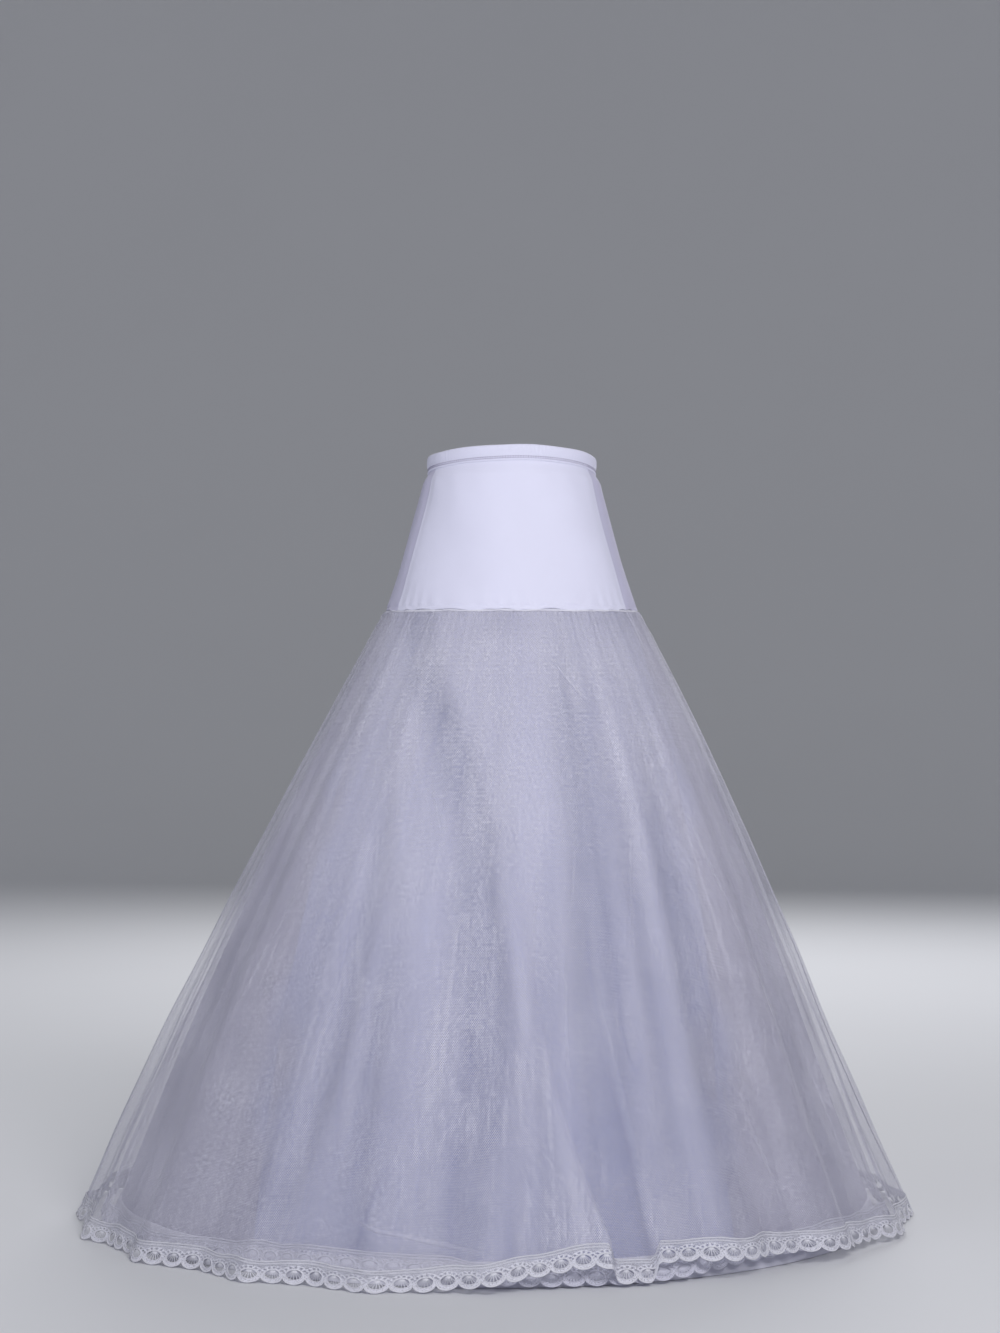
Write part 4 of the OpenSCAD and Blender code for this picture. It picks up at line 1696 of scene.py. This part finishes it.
@dataclass
class Studio:
    """A pale round floor that curves up all around, soft lamps and the camera."""

    floor: FloorFinish
    lamps: Sequence[Lamp]
    eye: tuple[float, float, float] = (0.0077, -4.25, 0.762)
    lens: float = 82.02
    flat_radius: float = 6.5
    sweep_radius: float = 4.5
    sweep_grid: tuple[int, int] = (24, 96)
    sky: float = 0.30
    sky_colour: Colour = (0.94, 0.96, 1.0)

    def sweep(self) -> None:
        """Builds the floor: flat, then a quarter circle outwards and up."""
        rows, columns = self.sweep_grid
        turn = np.linspace(0, np.pi / 2, rows)
        radius = np.concatenate([[0.0, 1.0], self.flat_radius + self.sweep_radius * np.sin(turn)])
        rise = np.concatenate([[0.0, 0.0], self.sweep_radius * (1 - np.cos(turn))])
        angle = turns(columns)[None, :]
        x, y = radius[:, None] * np.cos(angle), radius[:, None] * np.sin(angle)
        points = np.stack([x, y, rise[:, None] + 0 * angle], -1)
        work = Patchwork()
        work.grid(points, np.zeros((len(radius), columns + 1, 2)), cols_close=True)
        piece = work.build("studio_sweep", merge=1e-4)
        piece.data.materials.append(self.floor.material())

    def camera(self) -> None:
        """Places the camera level, in front of the skirt."""
        data = bpy.data.cameras.new("camera")
        data.lens, data.sensor_width, data.clip_end = self.lens, 36.0, 60.0
        camera = bpy.data.objects.new("camera", data)
        bpy.context.scene.collection.objects.link(camera)
        camera.location, camera.rotation_euler = self.eye, (math.pi / 2, 0.0, 0.0)
        bpy.context.scene.camera = camera

    def world(self) -> None:
        """Sets an even pale sky."""
        world = bpy.data.worlds.new("sky")
        world.use_nodes = True
        back = world.node_tree.nodes["Background"]
        back.inputs["Color"].default_value = (*self.sky_colour, 1.0)
        back.inputs["Strength"].default_value = self.sky
        bpy.context.scene.world = world

    def build(self) -> None:
        """Builds the floor, the lamps, the sky and the camera."""
        bpy.context.scene.view_settings.view_transform = "Standard"
        self.sweep()
        self.world()
        self.camera()
        for lamp in self.lamps:
            lamp.build()


COOL = srgb(184, 186, 219)
WARM = srgb(182, 178, 200)
# The colour of the lining's painted light, towards the hip and on the fold crests.
PAINTED_LIGHT = srgb(216, 217, 243)
LINING_FOLDS = (
    SoftFold(
        (
            (0.03, -5, 0.5),
            (0.10, -3.5, 0.7),
            (0.28, -2.1, 0.9),
            (0.42, -4, 1),
            (0.54, -7.2, 1),
            (0.65, -17.5, 0.9),
            (0.82, -44.7, 0.9),
        ),
        0.030,
        0.022,
    ),
    SoftFold(
        ((0.03, 18.4, 1), (0.34, 18.8, 1), (0.59, 21.7, 0.9), (0.73, 22.1, 0.7), (0.82, 22, 0.3)),
        0.034,
        0.020,
    ),
    SoftFold(
        ((0.05, -33, 0.5), (0.15, -31.6, 0.9), (0.30, -29.8, 1), (0.49, -31.4, 0.8), (0.70, -40.4, 0.4)),
        0.020,
        0.014,
    ),
    SoftFold(((0.03, -20, 0.5), (0.10, -21, 0.9), (0.27, -22.7, 1), (0.42, -24, 0)), 0.018, 0.013),
    SoftFold(((0.05, 38, 0.4), (0.30, 40, 1), (0.55, 43, 0.8), (0.75, 52, 0.3)), 0.024, 0.015),
    SoftFold(((0.05, 29, 0.5), (0.35, 30, 0.9), (0.60, 31, 0.6), (0.75, 33, 0)), 0.018, 0.012),
    SoftFold(((0.05, 8, 0.6), (0.25, 7.5, 0.9), (0.45, 8.5, 0.6), (0.60, 10, 0)), 0.016, 0.011),
    SoftFold(((0.25, -12, 0.3), (0.45, -18, 0.8), (0.60, -27, 1), (0.72, -36, 0.7)), 0.026, -0.005),
    SoftFold(((0.15, 12, 0.3), (0.45, 9, 0.8), (0.65, 7, 1), (0.78, 5, 0.7)), 0.030, -0.005),
    SoftFold(
        ((0.08, 12, 0.5), (0.16, 10.2, 0.8), (0.34, 4, 1), (0.51, -2.3, 1), (0.62, -5, 0)),
        0.013,
        -0.006,
    ),
)


def main() -> None:
    """Builds the petticoat from the waist down, then the studio."""
    logging.basicConfig(level=logging.INFO, format="%(name)s %(message)s")
    skirt = SkirtForm()
    waist = WaistForm(skirt)
    knit = KnitFinish("stretch_knit_white", srgb(227, 227, 250))
    # The back panel's knit: the same white, with painted shade near the side seams.
    back_knit_painted_shade = KnitFinish("stretch_knit_back_painted_shade", srgb(227, 227, 250), dim=(0.76, 0.74, 0.80))
    white_thread = ThreadFinish("seam_thread_white", srgb(238, 238, 252))
    # The waist stitches' dark lilac is partly the thread's colour and partly painted shade for the groove
    # they lie in.
    lilac_thread = ThreadFinish("waist_thread_lilac", srgb(160, 154, 186))
    lace_thread = ThreadFinish("lace_thread_white", srgb(226, 226, 238))
    under_thread = ThreadFinish("inner_lace_thread", srgb(212, 212, 230))
    net_thread = ThreadFinish("net_seam_thread", srgb(226, 226, 236))

    Waistband(waist, knit, lilac_thread, ElasticFinish("waist_elastic_white", srgb(228, 228, 230))).build()
    Yoke(waist, knit, back_knit_painted_shade).build()
    HipSeam(skirt, white_thread).build()
    Lining(
        skirt,
        cool=TaffetaFinish("lining_taffeta_cool", COOL, WARM, PAINTED_LIGHT),
        warm=TaffetaFinish("lining_taffeta_warm", COOL, WARM, PAINTED_LIGHT),
        folds=LINING_FOLDS,
    ).build()
    Hoop(
        skirt,
        SatinFinish("hoop_casing_satin_white", srgb(216, 216, 232)),
        white_thread,
        CoatedSteelFinish("hoop_coated_steel", srgb(226, 226, 224)),
        CrimpSteelFinish("joiner_crimp_steel", srgb(178, 178, 182)),
    ).build()
    inner = InnerNet(
        skirt,
        NetFinish("inner_net_tulle", srgb(226, 225, 242), haze=0.02, thread=0.62, wisps=0.2),
        net_thread,
        "inner",
        folds=14,
        depth=0.005,
        top=0.0015,
        flare=0.016,
        phase=0.9,
        ripples=39,
        ripple_depth=0.0012,
        gather_depth=0.0003,
        flat=(1.80, 0.92),
        flat_area=1.02,
    )
    outer = OuterNet(
        skirt,
        NetFinish("outer_net_tulle", srgb(232, 231, 248), wisps=0.36),
        net_thread,
        "outer",
        folds=21,
        depth=0.010,
        top=0.0030,
        flare=0.042,
        phase=2.3,
        ripples=53,
        ripple_depth=0.0020,
        gather_depth=0.0016,
        flat=(1.95, 0.92),
        flat_area=1.10,
        columns=760,
        rows=64,
        under=inner,
        creases=(
            Crease((13.9, 0.775), (25.8, 0.710), 0.0022, 0.0022, 0.95),
            Crease((-20.6, 0.084), (2.0, 0.042), 0.0035, 0.0045, 0.7),
            Crease((18.4, 0.640), (12.9, 0.410), 0.0020, 0.0026),
            Crease((30.4, 0.560), (24.3, 0.360), 0.0016, 0.0028),
            Crease((-20.2, 0.620), (-13.0, 0.520), 0.0016, 0.0026),
            Crease((6.8, 0.500), (5.9, 0.360), 0.0016, 0.0028),
            Crease((12.2, 0.420), (11.5, 0.200), 0.0018, 0.0032),
            Crease((-28.6, 0.420), (-30.9, 0.140), 0.0018, 0.0036),
            Crease((-47, 0.520), (-52, 0.260), 0.0018, 0.0032),
            Crease((48, 0.600), (56, 0.300), 0.0018, 0.0032),
            Crease((40, 0.250), (44, 0.060), 0.0018, 0.0036),
        ),
    )
    inner.build()
    outer.build()
    under_lace = LaceFinish("inner_edging_lace", srgb(210, 210, 228))
    LaceEdge(inner, under_lace, under_thread, "inner_lace", 120, fan=0.0022, flat_length=3.5).build()
    lace = LaceFinish("outer_edging_lace", srgb(220, 220, 234))
    LaceEdge(outer, lace, lace_thread, "outer_lace", 126, flat_length=3.7).build()
    Studio(
        FloorFinish("studio_floor_pale", srgb(214, 215, 220)),
        (
            Lamp("key", (1.6, -4.5, 3.2), (0.0, 0.0, 0.6), 1.8, 160.0, (1.0, 0.99, 0.98)),
            Lamp("fill", (-3.2, -3.4, 1.8), (0.0, 0.0, 0.5), 2.6, 36.0, (0.95, 0.97, 1.0)),
            Lamp("back", (0.6, 4.2, 3.2), (0.0, 0.0, 0.6), 2.4, 110.0, (1.0, 1.0, 1.0)),
        ),
    ).build()


if __name__ == "__main__":
    main()
